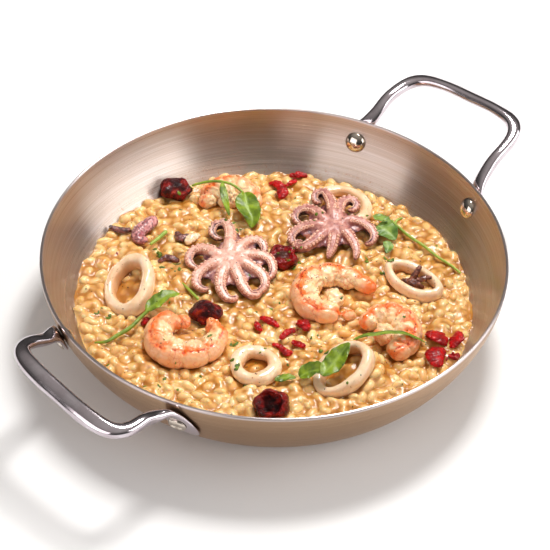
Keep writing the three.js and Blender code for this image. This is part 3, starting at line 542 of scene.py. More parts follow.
@dataclass
class SharedGroups:
    """Shader groups that several finishes use."""

    relief: NodeTree = field(init=False)
    mottle: NodeTree = field(init=False)
    brushing: NodeTree = field(init=False)

    def __post_init__(self) -> None:
        """Builds the groups once."""
        self.relief = self._relief()
        self.mottle = self._mottle()
        self.brushing = self._brushing()

    @staticmethod
    def _start(name: str, inputs: dict[str, str], outputs: dict[str, str]) -> tuple[Graph, dict, dict]:
        """Opens a group with named sockets, and returns its graph and its ends."""
        tree = bpy.data.node_groups.new(name, "ShaderNodeTree")
        for label, kind in inputs.items():
            tree.interface.new_socket(label, in_out="INPUT", socket_type=kind)
        for label, kind in outputs.items():
            tree.interface.new_socket(label, in_out="OUTPUT", socket_type=kind)
        graph = Graph(tree)
        return graph, graph.add("NodeGroupInput").outputs, graph.add("NodeGroupOutput").inputs

    def _scaled(self, graph: Graph, ends: dict, factor: float) -> Socket:
        """The group's coordinates, scaled by its Scale and a factor."""
        made = graph.add("ShaderNodeVectorMath", operation="SCALE")
        graph.feed(made.inputs[0], ends["Vector"])
        graph.feed(made.inputs["Scale"], graph.math("MULTIPLY", ends["Scale"], factor))
        return made.outputs[0]

    def _relief(self) -> NodeTree:
        """Soft flesh relief: broad dents with finer grain over them."""
        graph, ends, out = self._start(
            "flesh relief", {"Vector": "NodeSocketVector", "Scale": "NodeSocketFloat"},
            {"Height": "NodeSocketFloat"},
        )
        broad = graph.noise(1.0, 2.0, 0.5, self._scaled(graph, ends, 1.0))
        fine = graph.noise(1.0, 3.0, 0.6, self._scaled(graph, ends, 4.5))
        total = graph.math("ADD", graph.math("MULTIPLY", broad, 0.7), graph.math("MULTIPLY", fine, 0.3))
        graph.feed(out["Height"], total)
        return graph.tree

    def _mottle(self) -> NodeTree:
        """Uneven patches between two limits."""
        kinds = {
            "Vector": "NodeSocketVector", "Scale": "NodeSocketFloat", "Low": "NodeSocketFloat",
            "High": "NodeSocketFloat",
        }
        graph, ends, out = self._start("patches", kinds, {"Mask": "NodeSocketFloat"})
        cloud = graph.noise(1.0, 3.0, 0.6, self._scaled(graph, ends, 1.0), 0.4)
        range_node = graph.add("ShaderNodeMapRange")
        graph.feed(range_node.inputs["Value"], cloud)
        graph.feed(range_node.inputs["From Min"], ends["Low"])
        graph.feed(range_node.inputs["From Max"], ends["High"])
        graph.feed(out["Mask"], range_node.outputs["Result"])
        return graph.tree

    def _brushing(self) -> NodeTree:
        """Fine lines that run round the pan's axis."""
        graph, ends, out = self._start(
            "round brushing", {"Vector": "NodeSocketVector", "Scale": "NodeSocketFloat"},
            {"Mask": "NodeSocketFloat", "Streak": "NodeSocketFloat"},
        )
        split = graph.add("ShaderNodeSeparateXYZ")
        graph.feed(split.inputs[0], ends["Vector"])
        x, y, z = split.outputs
        squares = graph.math("ADD", graph.math("POWER", x, 2.0), graph.math("POWER", y, 2.0))
        reach = graph.math("SQRT", squares)
        angle = graph.math("ARCTAN2", y, x)
        for label, lengthwise in (("Mask", 1.2), ("Streak", 0.25)):
            join = graph.add("ShaderNodeCombineXYZ")
            graph.feed(join.inputs[0], graph.math("MULTIPLY", angle, lengthwise))
            graph.feed(join.inputs[1], graph.math("MULTIPLY", reach, ends["Scale"]))
            graph.feed(join.inputs[2], graph.math("MULTIPLY", z, ends["Scale"]))
            graph.feed(out[label], graph.noise(1.0, 4.0, 0.65, join.outputs[0]))
        return graph.tree


@dataclass
class Finish:
    """A material with one Principled shader."""

    name: str
    shared: SharedGroups
    graph: Graph = field(init=False)
    shader: Node = field(init=False)
    material: Material = field(init=False)

    def __post_init__(self) -> None:
        """Makes the empty material."""
        self.material = bpy.data.materials.new(self.name)
        self.material.use_nodes = True
        tree = self.material.node_tree
        tree.nodes.clear()
        self.graph = Graph(tree)
        self.shader = self.graph.add("ShaderNodeBsdfPrincipled")
        output = self.graph.add("ShaderNodeOutputMaterial")
        tree.links.new(self.shader.outputs["BSDF"], output.inputs["Surface"])

    def set(self, **sockets: object) -> None:
        """Sets or links sockets of the shader; underscores stand for spaces."""
        for name, value in sockets.items():
            self.graph.feed(self.shader.inputs[name.replace("_", " ")], value)

    def flesh(self, weight: float, reach: float, radius: Colour = (1.0, 0.45, 0.22)) -> None:
        """Lets light pass under the surface, as in moist food."""
        self.set(Subsurface_Weight=weight, Subsurface_Scale=reach, Subsurface_Radius=radius)

    def wet(self, weight: float = 0.6, rough: float = 0.08) -> None:
        """Adds a thin film of moisture."""
        self.set(Coat_Weight=weight, Coat_Roughness=rough, Coat_IOR=1.35)

    def dull_inside(self, rough: float, coat_rough: float) -> None:
        """A moist skin that is dull and dry inside."""
        inside = self.graph.mark(Layer.INSIDE)
        self.wet(0.3, coat_rough)
        self.set(
            Roughness=self.graph.remap(inside, 0.0, 1.0, rough, 0.7),
            Coat_Weight=self.graph.remap(inside, 0.0, 1.0, 0.3, 0.04),
        )

    def patches(self, scale: float, low: float, high: float) -> Socket:
        """A mask of uneven patches, at a scale per metre and between two limits."""
        graph = self.graph
        made = graph.group(self.shared.mottle, Vector=graph.place(), Scale=scale, Low=low, High=high)
        return made.outputs[0]

    def relief(self, scale: float, depth: float, strength: float) -> Socket:
        """The normal of soft relief, at a scale per metre and with a depth in metres."""
        made = self.graph.group(self.shared.relief, Vector=self.graph.place(), Scale=scale)
        return self.graph.bump(made.outputs[0], depth, strength)

    def over(self, tone: Socket, mask: Socket, colour: Paint, share: float) -> Socket:
        """Lays a share of a colour over a tone, where a mask says."""
        return self.graph.blend(self.graph.product(mask, share), tone, colour)


# ---- finishes
@dataclass
class Finishes:
    """Every finish of the pan and its food."""

    shared: SharedGroups
    suckers: Material = field(init=False)

    def __post_init__(self) -> None:
        """Makes the finish that both octopuses share."""
        self.suckers = self.sucker()

    def brushed_steel(self) -> Material:
        """Warm steel, brushed round the axis, with brown and pale residue over the food; the outer wall is
        painted darker as painted shade and the rim paler as a painted highlight.
        """
        finish = Finish("brushed steel", self.shared)
        graph = finish.graph
        lines = graph.group(self.shared.brushing, Vector=graph.place(), Scale=2600.0).outputs
        broad = graph.group(self.shared.brushing, Vector=graph.place(), Scale=500.0).outputs
        inner = graph.mark(Layer.INSIDE)
        fine = graph.remap(lines["Mask"], 0.3, 0.7)
        shine = graph.blend(fine, srgb(178, 166, 156), srgb(212, 202, 198))
        shine = graph.blend(graph.remap(broad["Mask"], 0.35, 0.7, 0.0, 0.4), shine, srgb(172, 146, 122))
        # The outer wall's darker warm brown is painted shade, standing in for the shadowed floor that it
        # reflects.
        dull = graph.blend(fine, srgb(158, 128, 102), srgb(182, 152, 124))
        tone = graph.blend(inner, dull, shine)
        # The rim is painted a paler lavender as a painted highlight.
        tone = graph.blend(graph.mark(Layer.RIDGE), tone, srgb(206, 194, 192))
        split = graph.add("ShaderNodeSeparateXYZ")
        graph.feed(split.inputs[0], graph.place())
        height = split.outputs[2]
        stain = graph.product(finish.patches(640.0, 0.58, 0.66), graph.remap(height, 0.0225, 0.0175), inner)
        tone = finish.over(tone, stain, srgb(168, 112, 72), 0.5)
        dots = graph.product(finish.patches(1500.0, 0.6, 0.64), graph.remap(height, 0.027, 0.0215))
        splash = graph.product(dots, finish.patches(60.0, 0.5, 0.62), inner)
        tone = finish.over(tone, splash, srgb(236, 214, 188), 0.7)
        residue = graph.product(graph.math("MAXIMUM", stain, splash), 0.5)
        finish.set(
            Base_Color=tone, Metallic=graph.math("SUBTRACT", 1.0, residue),
            Roughness=graph.remap(lines["Streak"], 0.3, 0.7, 0.26, 0.38),
            Normal=graph.bump(lines["Mask"], 0.00006, 0.3), Anisotropic=0.92, Anisotropic_Rotation=0.25,
            Tangent=graph.add("ShaderNodeTangent", direction_type="RADIAL", axis="Z").outputs[0],
        )
        return finish.material

    def polished_steel(self, name: str, clear: Paint, hazy: Paint) -> Material:
        """Polished steel with faint hand marks, in its clear and its hazy tone."""
        finish = Finish(name, self.shared)
        graph = finish.graph
        haze = finish.patches(90.0, 0.35, 0.7)
        finish.set(
            Base_Color=graph.blend(haze, clear, hazy), Metallic=1.0,
            Roughness=graph.remap(haze, 0.0, 1.0, 0.1, 0.16),
            Normal=graph.bump(graph.noise(120.0, 2.0), 0.0002, 0.06),
        )
        return finish.material

    def rice_grain(self) -> Material:
        """Creamy, glossy grains, each with its own tint."""
        finish = Finish("creamy rice", self.shared)
        tone = finish.graph.blend(finish.graph.mark(Layer.TINT), srgb(236, 178, 100), srgb(252, 216, 155))
        tone = finish.over(tone, finish.patches(45.0, 0.4, 0.65), srgb(224, 160, 82), 0.3)
        finish.set(Base_Color=tone, Roughness=0.34, Normal=finish.relief(500.0, 0.0004, 0.3))
        finish.flesh(0.6, 0.0024, (1.0, 0.62, 0.28))
        finish.wet(0.3, 0.2)
        return finish.material

    def sauce(self) -> Material:
        """Ochre-gold sauce, thin and glossy, paler over the grains and darker between them, partly from
        deeper sauce and partly as painted shade.
        """
        finish = Finish("golden sauce", self.shared)
        graph = finish.graph
        cloud = finish.patches(60.0, 0.35, 0.7)
        # Darker in the valleys between grains: partly deeper sauce, partly painted shade.
        deep_sauce_and_shade = graph.blend(cloud, srgb(176, 112, 36), srgb(202, 138, 58))
        crown = graph.blend(cloud, srgb(232, 172, 94), srgb(248, 206, 140))
        tone = graph.blend(graph.mark(Layer.RIDGE), deep_sauce_and_shade, crown)
        finish.set(Base_Color=tone, Roughness=0.3, Normal=finish.relief(420.0, 0.0005, 0.3))
        finish.flesh(0.5, 0.0024, (1.0, 0.58, 0.22))
        finish.wet(0.32, 0.14)
        return finish.material

    def octopus_flesh(self, name: str, light: Paint, rosy: Paint, ridge: Paint) -> Material:
        """Pale pink flesh with salmon ridges, mauve to purple undersides, and near black inside the curling
        tips as painted shade.
        """
        finish = Finish(f"{name} flesh", self.shared)
        graph = finish.graph
        patch = finish.patches(230.0, 0.35, 0.68)
        tone = finish.over(graph.blend(patch, light, rosy), graph.mark(Layer.RIDGE), ridge, 0.85)
        tone = finish.over(tone, finish.patches(900.0, 0.56, 0.66), srgb(176, 96, 92), 0.5)
        # DEEP darkens to mauve, then near black, towards the undersides and, as painted shade, inside the
        # curling tips.
        deep = graph.product(graph.mark(Layer.DEEP), graph.remap(patch, 0.0, 1.0, 0.72, 1.0))
        tone = graph.blend(graph.remap(deep, 0.08, 0.5), tone, srgb(138, 78, 84))
        tone = graph.blend(graph.remap(deep, 0.4, 0.85), tone, srgb(46, 18, 26))
        finish.set(Base_Color=tone, Roughness=0.32, Normal=finish.relief(620.0, 0.0007, 0.45))
        finish.flesh(0.25, 0.0018, (1.0, 0.5, 0.35))
        finish.wet(0.4, 0.22)
        return finish.material

    def sucker(self) -> Material:
        """Pale suckers with orange-brown middles."""
        finish = Finish("suckers", self.shared)
        graph = finish.graph
        tone = graph.blend(graph.mark(Layer.DEEP), srgb(246, 200, 176), srgb(196, 116, 84))
        tone = finish.over(tone, graph.mark(Layer.TINT), srgb(198, 124, 100), 0.5)
        finish.set(Base_Color=tone, Roughness=0.28)
        finish.flesh(0.15, 0.001)
        finish.wet(0.5, 0.1)
        return finish.material

    def dark_tentacle(self, name: str, deep: Paint, pale: Paint) -> Material:
        """Dark flesh with paler patches."""
        finish = Finish(name, self.shared)
        tone = finish.graph.blend(finish.patches(420.0, 0.42, 0.66), deep, pale)
        finish.set(Base_Color=tone, Roughness=0.3, Normal=finish.relief(700.0, 0.001, 0.6))
        finish.wet(0.7, 0.1)
        return finish.material

    def pink_curl(self) -> Material:
        """Pink squid flesh, with painted shade in its creases."""
        finish = Finish("pink squid flesh", self.shared)
        graph = finish.graph
        tone = graph.blend(finish.patches(260.0, 0.4, 0.66), srgb(226, 156, 150), srgb(170, 82, 88))
        # Painted shade in the creases that DEEP marks.
        tone = graph.blend(graph.remap(graph.mark(Layer.DEEP), 0.1, 0.9), tone, srgb(88, 34, 44))
        finish.set(Base_Color=tone, Roughness=0.32, Normal=finish.relief(520.0, 0.001, 0.5))
        finish.flesh(0.2, 0.0018)
        finish.wet(0.6, 0.1)
        return finish.material

    def prawn_flesh(self) -> Material:
        """Peach flesh, creamy inside the curl and orange along the back, with fine red cracks."""
        finish = Finish("prawn flesh", self.shared)
        graph = finish.graph
        patch = finish.patches(150.0, 0.38, 0.66)
        warm = graph.product(graph.mark(Layer.RIDGE), graph.remap(patch, 0.0, 1.0, 0.7, 1.0))
        cream = graph.blend(graph.product(patch, 0.5), srgb(255, 220, 174), srgb(251, 186, 114))
        band = graph.blend(patch, srgb(254, 200, 154), srgb(249, 174, 118))
        tone = graph.blend(graph.mark(Layer.INSIDE), band, cream)
        tone = graph.blend(warm, tone, srgb(253, 112, 10))
        veins = graph.remap(graph.cell_edges(300.0), 0.07, 0.0)
        lines = graph.product(veins, graph.remap(graph.noise(110.0, 2.0), 0.5, 0.62))
        groove = graph.remap(graph.mark(Layer.DEEP), 0.45, 1.0, 0.0, 0.9)
        tone = graph.blend(graph.math("MAXIMUM", groove, graph.product(lines, 0.7)), tone, srgb(208, 62, 14))
        fine = graph.group(self.shared.relief, Vector=graph.place(), Scale=520.0).outputs[0]
        height = graph.math("SUBTRACT", fine, graph.product(lines, 0.3))
        finish.set(Base_Color=tone, Roughness=0.3, Normal=graph.bump(height, 0.0009, 0.5))
        finish.flesh(0.3, 0.002, (1.0, 0.45, 0.2))
        finish.wet(0.6, 0.1)
        return finish.material

    def squid_flesh(self) -> Material:
        """Glossy ivory squid, its inner wall painted a deeper yellow as painted reflection and shade."""
        finish = Finish("squid flesh", self.shared)
        graph = finish.graph
        tone = graph.blend(finish.patches(120.0, 0.38, 0.68), srgb(252, 224, 190), srgb(244, 202, 158))
        # The inner wall's deeper yellow is painted reflection of the golden sauce and painted shade.
        inside = graph.remap(graph.mark(Layer.INSIDE), 0.3, 1.0, 0.0, 0.6)
        tone = graph.blend(inside, tone, srgb(222, 156, 92))
        tone = finish.over(tone, finish.patches(800.0, 0.66, 0.7), srgb(120, 62, 30), 0.7)
        finish.set(Base_Color=tone, Roughness=0.22, Normal=finish.relief(240.0, 0.0009, 0.3))
        finish.flesh(0.3, 0.0025, (1.0, 0.6, 0.38))
        finish.wet(0.8, 0.04)
        return finish.material

    def roast_tomato(self) -> Material:
        """Near-black roasted skin over orange flesh, with painted shade in the hollow of its dimple."""
        finish = Finish("roasted tomato", self.shared)
        graph = finish.graph
        patch = finish.patches(170.0, 0.42, 0.62)
        tone = graph.blend(patch, srgb(58, 8, 12), srgb(150, 26, 22))
        opened = graph.product(graph.mark(Layer.RIDGE), graph.remap(patch, 0.0, 1.0, 0.35, 1.1))
        tone = graph.blend(graph.remap(opened, 0.4, 0.85), tone, srgb(196, 70, 20))
        # The dimple's hollow is painted near black as painted shade.
        tone = finish.over(tone, graph.mark(Layer.INSIDE), srgb(30, 8, 8), 0.8)
        finish.set(Base_Color=tone, Normal=finish.relief(420.0, 0.002, 0.9), Specular_IOR_Level=0.15)
        finish.dull_inside(0.34, 0.12)
        return finish.material

    def dried_tomato(self, name: str, dark: Paint, light: Paint) -> Material:
        """Crimson wrinkled tomato with tiny pale seeds and a dark middle, partly its own colour and partly
        painted shade.
        """
        finish = Finish(name, self.shared)
        graph = finish.graph
        tone = graph.blend(finish.patches(260.0, 0.38, 0.66), dark, light)
        # The dark middle is partly the cup's own colour and partly painted shade in its hollow.
        tone = graph.blend(graph.mark(Layer.INSIDE), tone, srgb(62, 22, 10))
        tone = finish.over(tone, finish.patches(900.0, 0.66, 0.7), srgb(222, 150, 96), 0.5)
        finish.set(Base_Color=tone, Normal=finish.relief(600.0, 0.001, 0.6), Specular_IOR_Level=0.2)
        finish.dull_inside(0.32, 0.14)
        return finish.material

    def leaf(self, name: str, dark: Paint, light: Paint) -> Material:
        """A fresh leaf with paler ribs and a soft sheen."""
        finish = Finish(name, self.shared)
        graph = finish.graph
        rib = graph.mark(Layer.RIDGE)
        tone = graph.blend(finish.patches(160.0, 0.35, 0.68), dark, light)
        tone = finish.over(tone, rib, srgb(168, 196, 84), 0.5)
        fine = graph.group(self.shared.relief, Vector=graph.place(), Scale=800.0).outputs[0]
        finish.set(
            Base_Color=tone, Roughness=0.38, Normal=graph.bump(graph.math("ADD", fine, rib), 0.0004, 0.5),
            Sheen_Weight=0.1, Specular_IOR_Level=0.5,
        )
        finish.flesh(0.1, 0.001, (0.8, 1.0, 0.1))
        return finish.material

    def plain(self, name: str, tone: Paint, other: Paint, rough: float, scale: float = 500.0) -> Material:
        """A small thing's finish, with patches of two tones."""
        finish = Finish(name, self.shared)
        mixed = finish.graph.blend(finish.patches(scale, 0.4, 0.62), tone, other)
        finish.set(Base_Color=mixed, Roughness=rough, Normal=finish.relief(2 * scale, 0.0003, 0.4))
        return finish.material

    def studio_white(self) -> Material:
        """The floor's even white."""
        finish = Finish("studio white", self.shared)
        finish.set(Base_Color=(0.9, 0.9, 0.9, 1.0), Roughness=0.9, Specular_IOR_Level=0.1)
        return finish.material


# ---- pan
SIDE_KEYS = np.array([[94.0, 0.0], [106.5, 0.0], [128.7, 29.0], [130.0, 50.0]])
SIDE_SAMPLES = 800


def side_curve(share: Array) -> tuple[Array, Array]:
    """The pan's outer side.

    Args:
        share: shares of the curve, from the base at 0 to the rim at 1.

    Returns:
        The radius and height at each share, and the directions along the curve.
    """
    keys = SIDE_KEYS
    t = np.atleast_1d(np.asarray(share, float))[:, None]
    place = (
        keys[0] * (1 - t) ** 3 + 3 * keys[1] * t * (1 - t) ** 2
        + 3 * keys[2] * t**2 * (1 - t) + keys[3] * t**3
    )
    along = (
        3 * (keys[1] - keys[0]) * (1 - t) ** 2 + 6 * (keys[2] - keys[1]) * t * (1 - t)
        + 3 * (keys[3] - keys[2]) * t**2
    )
    return place, unit(along)


def side_at(height: float) -> tuple[float, Array]:
    """The outer radius at a height, and the outward normal as radius and height parts."""
    place, along = side_curve(np.linspace(0.0, 1.0, SIDE_SAMPLES + 1))
    index = min(max(int(np.searchsorted(place[:, 1], height)), 1), SIDE_SAMPLES)
    low, high = place[index - 1], place[index]
    part = (height - low[1]) / max(high[1] - low[1], 1e-9)
    return float(low[0] + part * (high[0] - low[0])), np.array([along[index][1], -along[index][0]])


def on_side(angle: float, height: float, distance: float) -> tuple[Array, Array]:
    """A point off the outer face at an angle in radians, and the face's outward normal there."""
    radius, flat = side_at(height)
    out = np.array([math.cos(angle), math.sin(angle), 0.0])
    normal = out * flat[0] + UP * flat[1]
    return out * radius + UP * height + normal * distance, normal


@dataclass
class Pan:
    """The pan's steel body, its rivets and its two strap handles."""

    kitchen: Kitchen
    finishes: Finishes
    height: float = 50.0
    wall: float = 1.8
    round_steps: int = 288
    rivet_angle: float = math.radians(20.3)
    rivet_drop: float = 13.5
    head_radius: float = 6.2
    head_height: float = 3.9
    tail_radius: float = 5.2
    tail_height: float = 1.7
    plate_thickness: float = 2.4
    plate_gap: float = 0.4
    grip_tilt: float = math.radians(28.0)
    bend: float = 17.0
    leg_span: float = 41.0
    bow: float = 1.6
    neck_half: tuple[float, float] = (3.8, 3.1)
    leg_half: tuple[float, float] = (3.6, 3.3)
    grip_half: tuple[float, float] = (4.9, 3.3)

    def build(self) -> None:
        """Makes all the steel."""
        polished = self.finishes.polished_steel("polished steel", srgb(216, 208, 214), srgb(196, 184, 190))
        warm = self.finishes.polished_steel("warm polished steel", srgb(216, 206, 194), srgb(194, 182, 168))
        self.kitchen.serve(
            "pan_body", self.body(), self.finishes.brushed_steel(), "pan_steel", ["pan"], plan=False
        )
        hands = {
            "handle_far": (0.0, 40.0, (139.0, 57.0), ((166.4, 63.6), (170.2, 67.2))),
            "handle_near": (math.pi, 42.8, (139.0, 51.0), ((162.0, 51.8), (157.6, 58.0))),
        }
        for node, (turn, span, shoulder, corners) in hands.items():
            strap = self.strap(turn, span, shoulder, corners)
            low, high = (np.array(corner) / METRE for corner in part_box(node))
            strap.points = np.clip(strap.points, low, high)
            self.kitchen.serve(f"{node}_strap", strap, polished, "handle_steel", [node], plan=False)
        angles = [turn + sign * self.rivet_angle for turn in (0.0, math.pi) for sign in (-1, 1)]
        for index, angle in enumerate(angles, start=1):
            name = f"rivet_{index}"
            self.kitchen.serve(f"{name}_metal", self.rivet(angle), warm, "handle_steel", [name], plan=False)

    def body(self) -> Skin:
        """The pan turned about its axis, with a round rim marked for a painted highlight."""
        share = np.linspace(0.0, 1.0, 57)
        outer, along = side_curve(share)
        inward = np.stack([-along[:, 1], along[:, 0]], axis=1)
        inner = outer + inward * self.wall
        bead = self.wall / 2
        top = (outer[-1] + inner[-1]) / 2
        turn = np.linspace(0.0, math.pi, 10)[1:-1]
        rim = top + np.stack([np.cos(turn), np.sin(turn)], axis=1) * bead
        base = np.array([[r, 0.0] for r in (20.0, 50.0, 80.0, 92.0)])
        floor = np.array([[r, self.wall] for r in (92.0, 80.0, 50.0, 20.0)])
        profile = np.vstack([base, outer, rim, inner[::-1], floor])
        angle = np.linspace(0.0, 2 * math.pi, self.round_steps, endpoint=False)
        rings = np.stack(
            [
                profile[:, None, 0] * np.cos(angle)[None, :],
                profile[:, None, 0] * np.sin(angle)[None, :],
                np.repeat(profile[:, 1:2], self.round_steps, axis=1),
            ],
            axis=2,
        )
        skin = ring_skin(rings)
        first_rim = len(base) + len(outer)
        first_inner = first_rim + len(rim)
        inside, edge = np.zeros(len(profile)), np.zeros(len(profile))
        inside[first_inner:] = 1.0
        edge[first_rim - 1:first_inner + 1] = 1.0
        skin.marks[Layer.INSIDE] = np.append(np.repeat(inside, self.round_steps), [0.0, 1.0])
        # RIDGE marks the rim, which the steel finish paints paler as a painted highlight.
        skin.marks[Layer.RIDGE] = np.append(np.repeat(edge, self.round_steps), [0.0, 0.0])
        return skin

    def rivet(self, angle: float) -> Skin:
        """A rivet with its domed head inside and its slotted tail outside."""
        height = self.height - self.rivet_drop
        tail = self.wall + self.plate_gap + self.plate_thickness + 0.1
        lift = np.linspace(0.02, math.pi / 2, 14)
        head = np.stack(
            [self.head_radius * np.sin(lift), -0.25 - (self.head_height - 0.4) * np.cos(lift)], axis=1
        )
        dome = np.linspace(math.pi / 2, 0.02, 12)
        end = np.stack(
            [self.tail_radius * np.sin(dome) ** 0.7, tail + self.tail_height * np.cos(dome)], axis=1
        )
        shank = np.array([[self.head_radius - 0.3, 0.3], [2.5, 0.35], [2.5, tail - 0.05], [5.0, tail - 0.02]])
        profile = np.vstack([head, shank, end])
        turn = np.linspace(0.0, 2 * math.pi, 48, endpoint=False)
        start, normal = on_side(angle, height, -self.wall)
        across = unit(np.cross(UP, normal))
        rise = np.cross(normal, across)
        slot = (profile[:, 1] > tail + 0.5)[:, None] & (np.abs(np.sin(turn))[None, :] * profile[:, :1] < 0.9)
        slot &= np.abs(np.cos(turn))[None, :] * profile[:, :1] < 3.2
        depth = profile[:, 1:2] - slot * 1.0
        rings = (
            start
            + across * (profile[:, :1] * np.cos(turn)[None, :])[:, :, None]
            + rise * (profile[:, :1] * np.sin(turn)[None, :])[:, :, None]
            + normal * depth[:, :, None]
        )
        return ring_skin(rings)

    def strap(
        self, turn: float, span: float, shoulder: tuple[float, float],
        corners: tuple[tuple[float, float], tuple[float, float]],
    ) -> Skin:
        """One handle, bent from a strap.

        Args:
            turn: the handle's angle about the pan's axis.
            span: from its middle to its corners.
            shoulder: reach and height where it turns away from the wall.
            corners: reach and height of its two corners.

        Returns:
            The skin of the strap with both flanges.
        """
        left, right = corners
        middle = np.array([(left[0] + right[0]) / 2 + self.bow, 0.0, (left[1] + right[1]) / 2])
        one = self.half_strap(span, shoulder, left, middle)
        other = self.half_strap(span, shoulder, right, middle)
        flip = np.array([1.0, -1.0, 1.0])
        mirrored = [(place * flip, normal * flip, size) for place, normal, size in reversed(other)]
        stations = [*one, (middle, one[-1][1], self.grip_half), *mirrored]
        places = np.array([s[0] for s in stations])
        normals = np.array([s[1] for s in stations])
        sizes = np.array([s[2] for s in stations])
        keys = np.concatenate([[0.0], np.cumsum(np.linalg.norm(np.diff(places, axis=0), axis=1))])
        wanted = np.linspace(0.0, keys[-1], int(keys[-1] / 1.1))
        from_end = np.minimum(wanted, keys[-1] - wanted)
        softness = np.interp(from_end, [12.0, 22.0], [0.0, 1.0])[:, None]
        line = self.eased(smooth_keys(keys, places, wanted), softness)
        flat = unit(self.eased(smooth_keys(keys, unit(normals), wanted), softness))
        half = np.maximum(self.eased(smooth_keys(keys, sizes, wanted), softness), 0.5)
        along = tangents(line)
        across = unit(np.cross(along, flat))
        flat = np.cross(across, along)
        angle = np.linspace(0.0, 2 * math.pi, 28, endpoint=False)
        section = boxed(np.cos(angle), 0.85), boxed(np.sin(angle), 0.85)
        skin = ring_skin(swept(line, across, flat, half[:, 0], half[:, 1], *section))
        cos, sin = math.cos(turn), math.sin(turn)
        spin = np.array([[cos, -sin, 0.0], [sin, cos, 0.0], [0.0, 0.0, 1.0]])
        return Skin(skin.points @ spin.T, skin.faces)

    @staticmethod
    def eased(rows: Array, softness: Array) -> Array:
        """Evens out rows of values along the strap, by a share for each row."""
        kernel = np.hanning(21)[1:-1]
        kernel /= kernel.sum()
        wide = np.pad(rows, ((9, 9), (0, 0)), mode="edge")
        even = np.stack([np.convolve(wide[:, i], kernel, mode="valid") for i in range(rows.shape[1])], axis=1)
        return rows * (1 - softness) + even * softness

    def half_strap(
        self, span: float, shoulder: tuple[float, float], corner: tuple[float, float], middle: Array
    ) -> list[tuple[Array, Array, tuple[float, float]]]:
        """The stations of one half of a strap: place, normal of its flat side, and half sizes."""
        plate = self.plate_gap + self.plate_thickness / 2
        flange = (
            (24.4, 23.6, plate - 0.3, 1.2, 0.7),
            (23.8, 21.8, plate, 3.6, 1.1),
            (22.6, 18.6, plate, 6.2, 1.2),
            (21.4, 15.0, plate, 7.3, 1.2),
            (20.3, 11.0, plate, 7.3, 1.2),
            (19.3, 6.8, plate + 0.4, 6.2, 1.6),
            (18.6, 2.8, plate + 1.6, 4.6, 2.4),
        )
        stations = []
        for degrees, drop, distance, wide, thick in flange:
            place, normal = on_side(math.radians(degrees), self.height - drop, distance)
            stations.append((place, normal, (wide, thick)))
        foot = np.array([shoulder[0], self.leg_span, shoulder[1]])
        end = np.array([corner[0], span, corner[1]])
        under_leg = unit(np.array([0.12, 0.0, -1.0]))
        under_grip = np.array([-math.sin(self.grip_tilt), 0.0, -math.cos(self.grip_tilt)])
        neck = foot + np.array([-3.4, 0.0, -3.2])
        stations.append((neck, unit(np.array([0.75, 0.0, -0.7])), self.neck_half))
        stations.append((foot, under_leg, self.leg_half))
        into = end + unit(foot - end) * self.bend
        out_of = end + unit(middle - end) * self.bend
        for share in (0.0, 0.35, 0.65, 1.0):
            place = into * (1 - share) ** 2 + 2 * end * share * (1 - share) + out_of * share**2
            normal = unit(under_leg * (1 - share) + under_grip * share)
            half = tuple(leg + (grip - leg) * share for leg, grip in zip(self.leg_half, self.grip_half))
            stations.append((place, normal, half))
        return stations


def smooth_keys(keys: Array, values: Array, wanted: Array) -> Array:
    """Reads rows of values between keys on a smooth curve through them."""
    slopes = np.gradient(values, keys, axis=0)
    low = np.clip(np.searchsorted(keys, wanted, side="right") - 1, 0, len(keys) - 2)
    span = (keys[low + 1] - keys[low])[:, None]
    t = (wanted - keys[low])[:, None] / span
    return (
        values[low] * (2 * t**3 - 3 * t**2 + 1) + slopes[low] * span * (t**3 - 2 * t**2 + t)
        + values[low + 1] * (3 * t**2 - 2 * t**3) + slopes[low + 1] * span * (t**3 - t**2)
    )


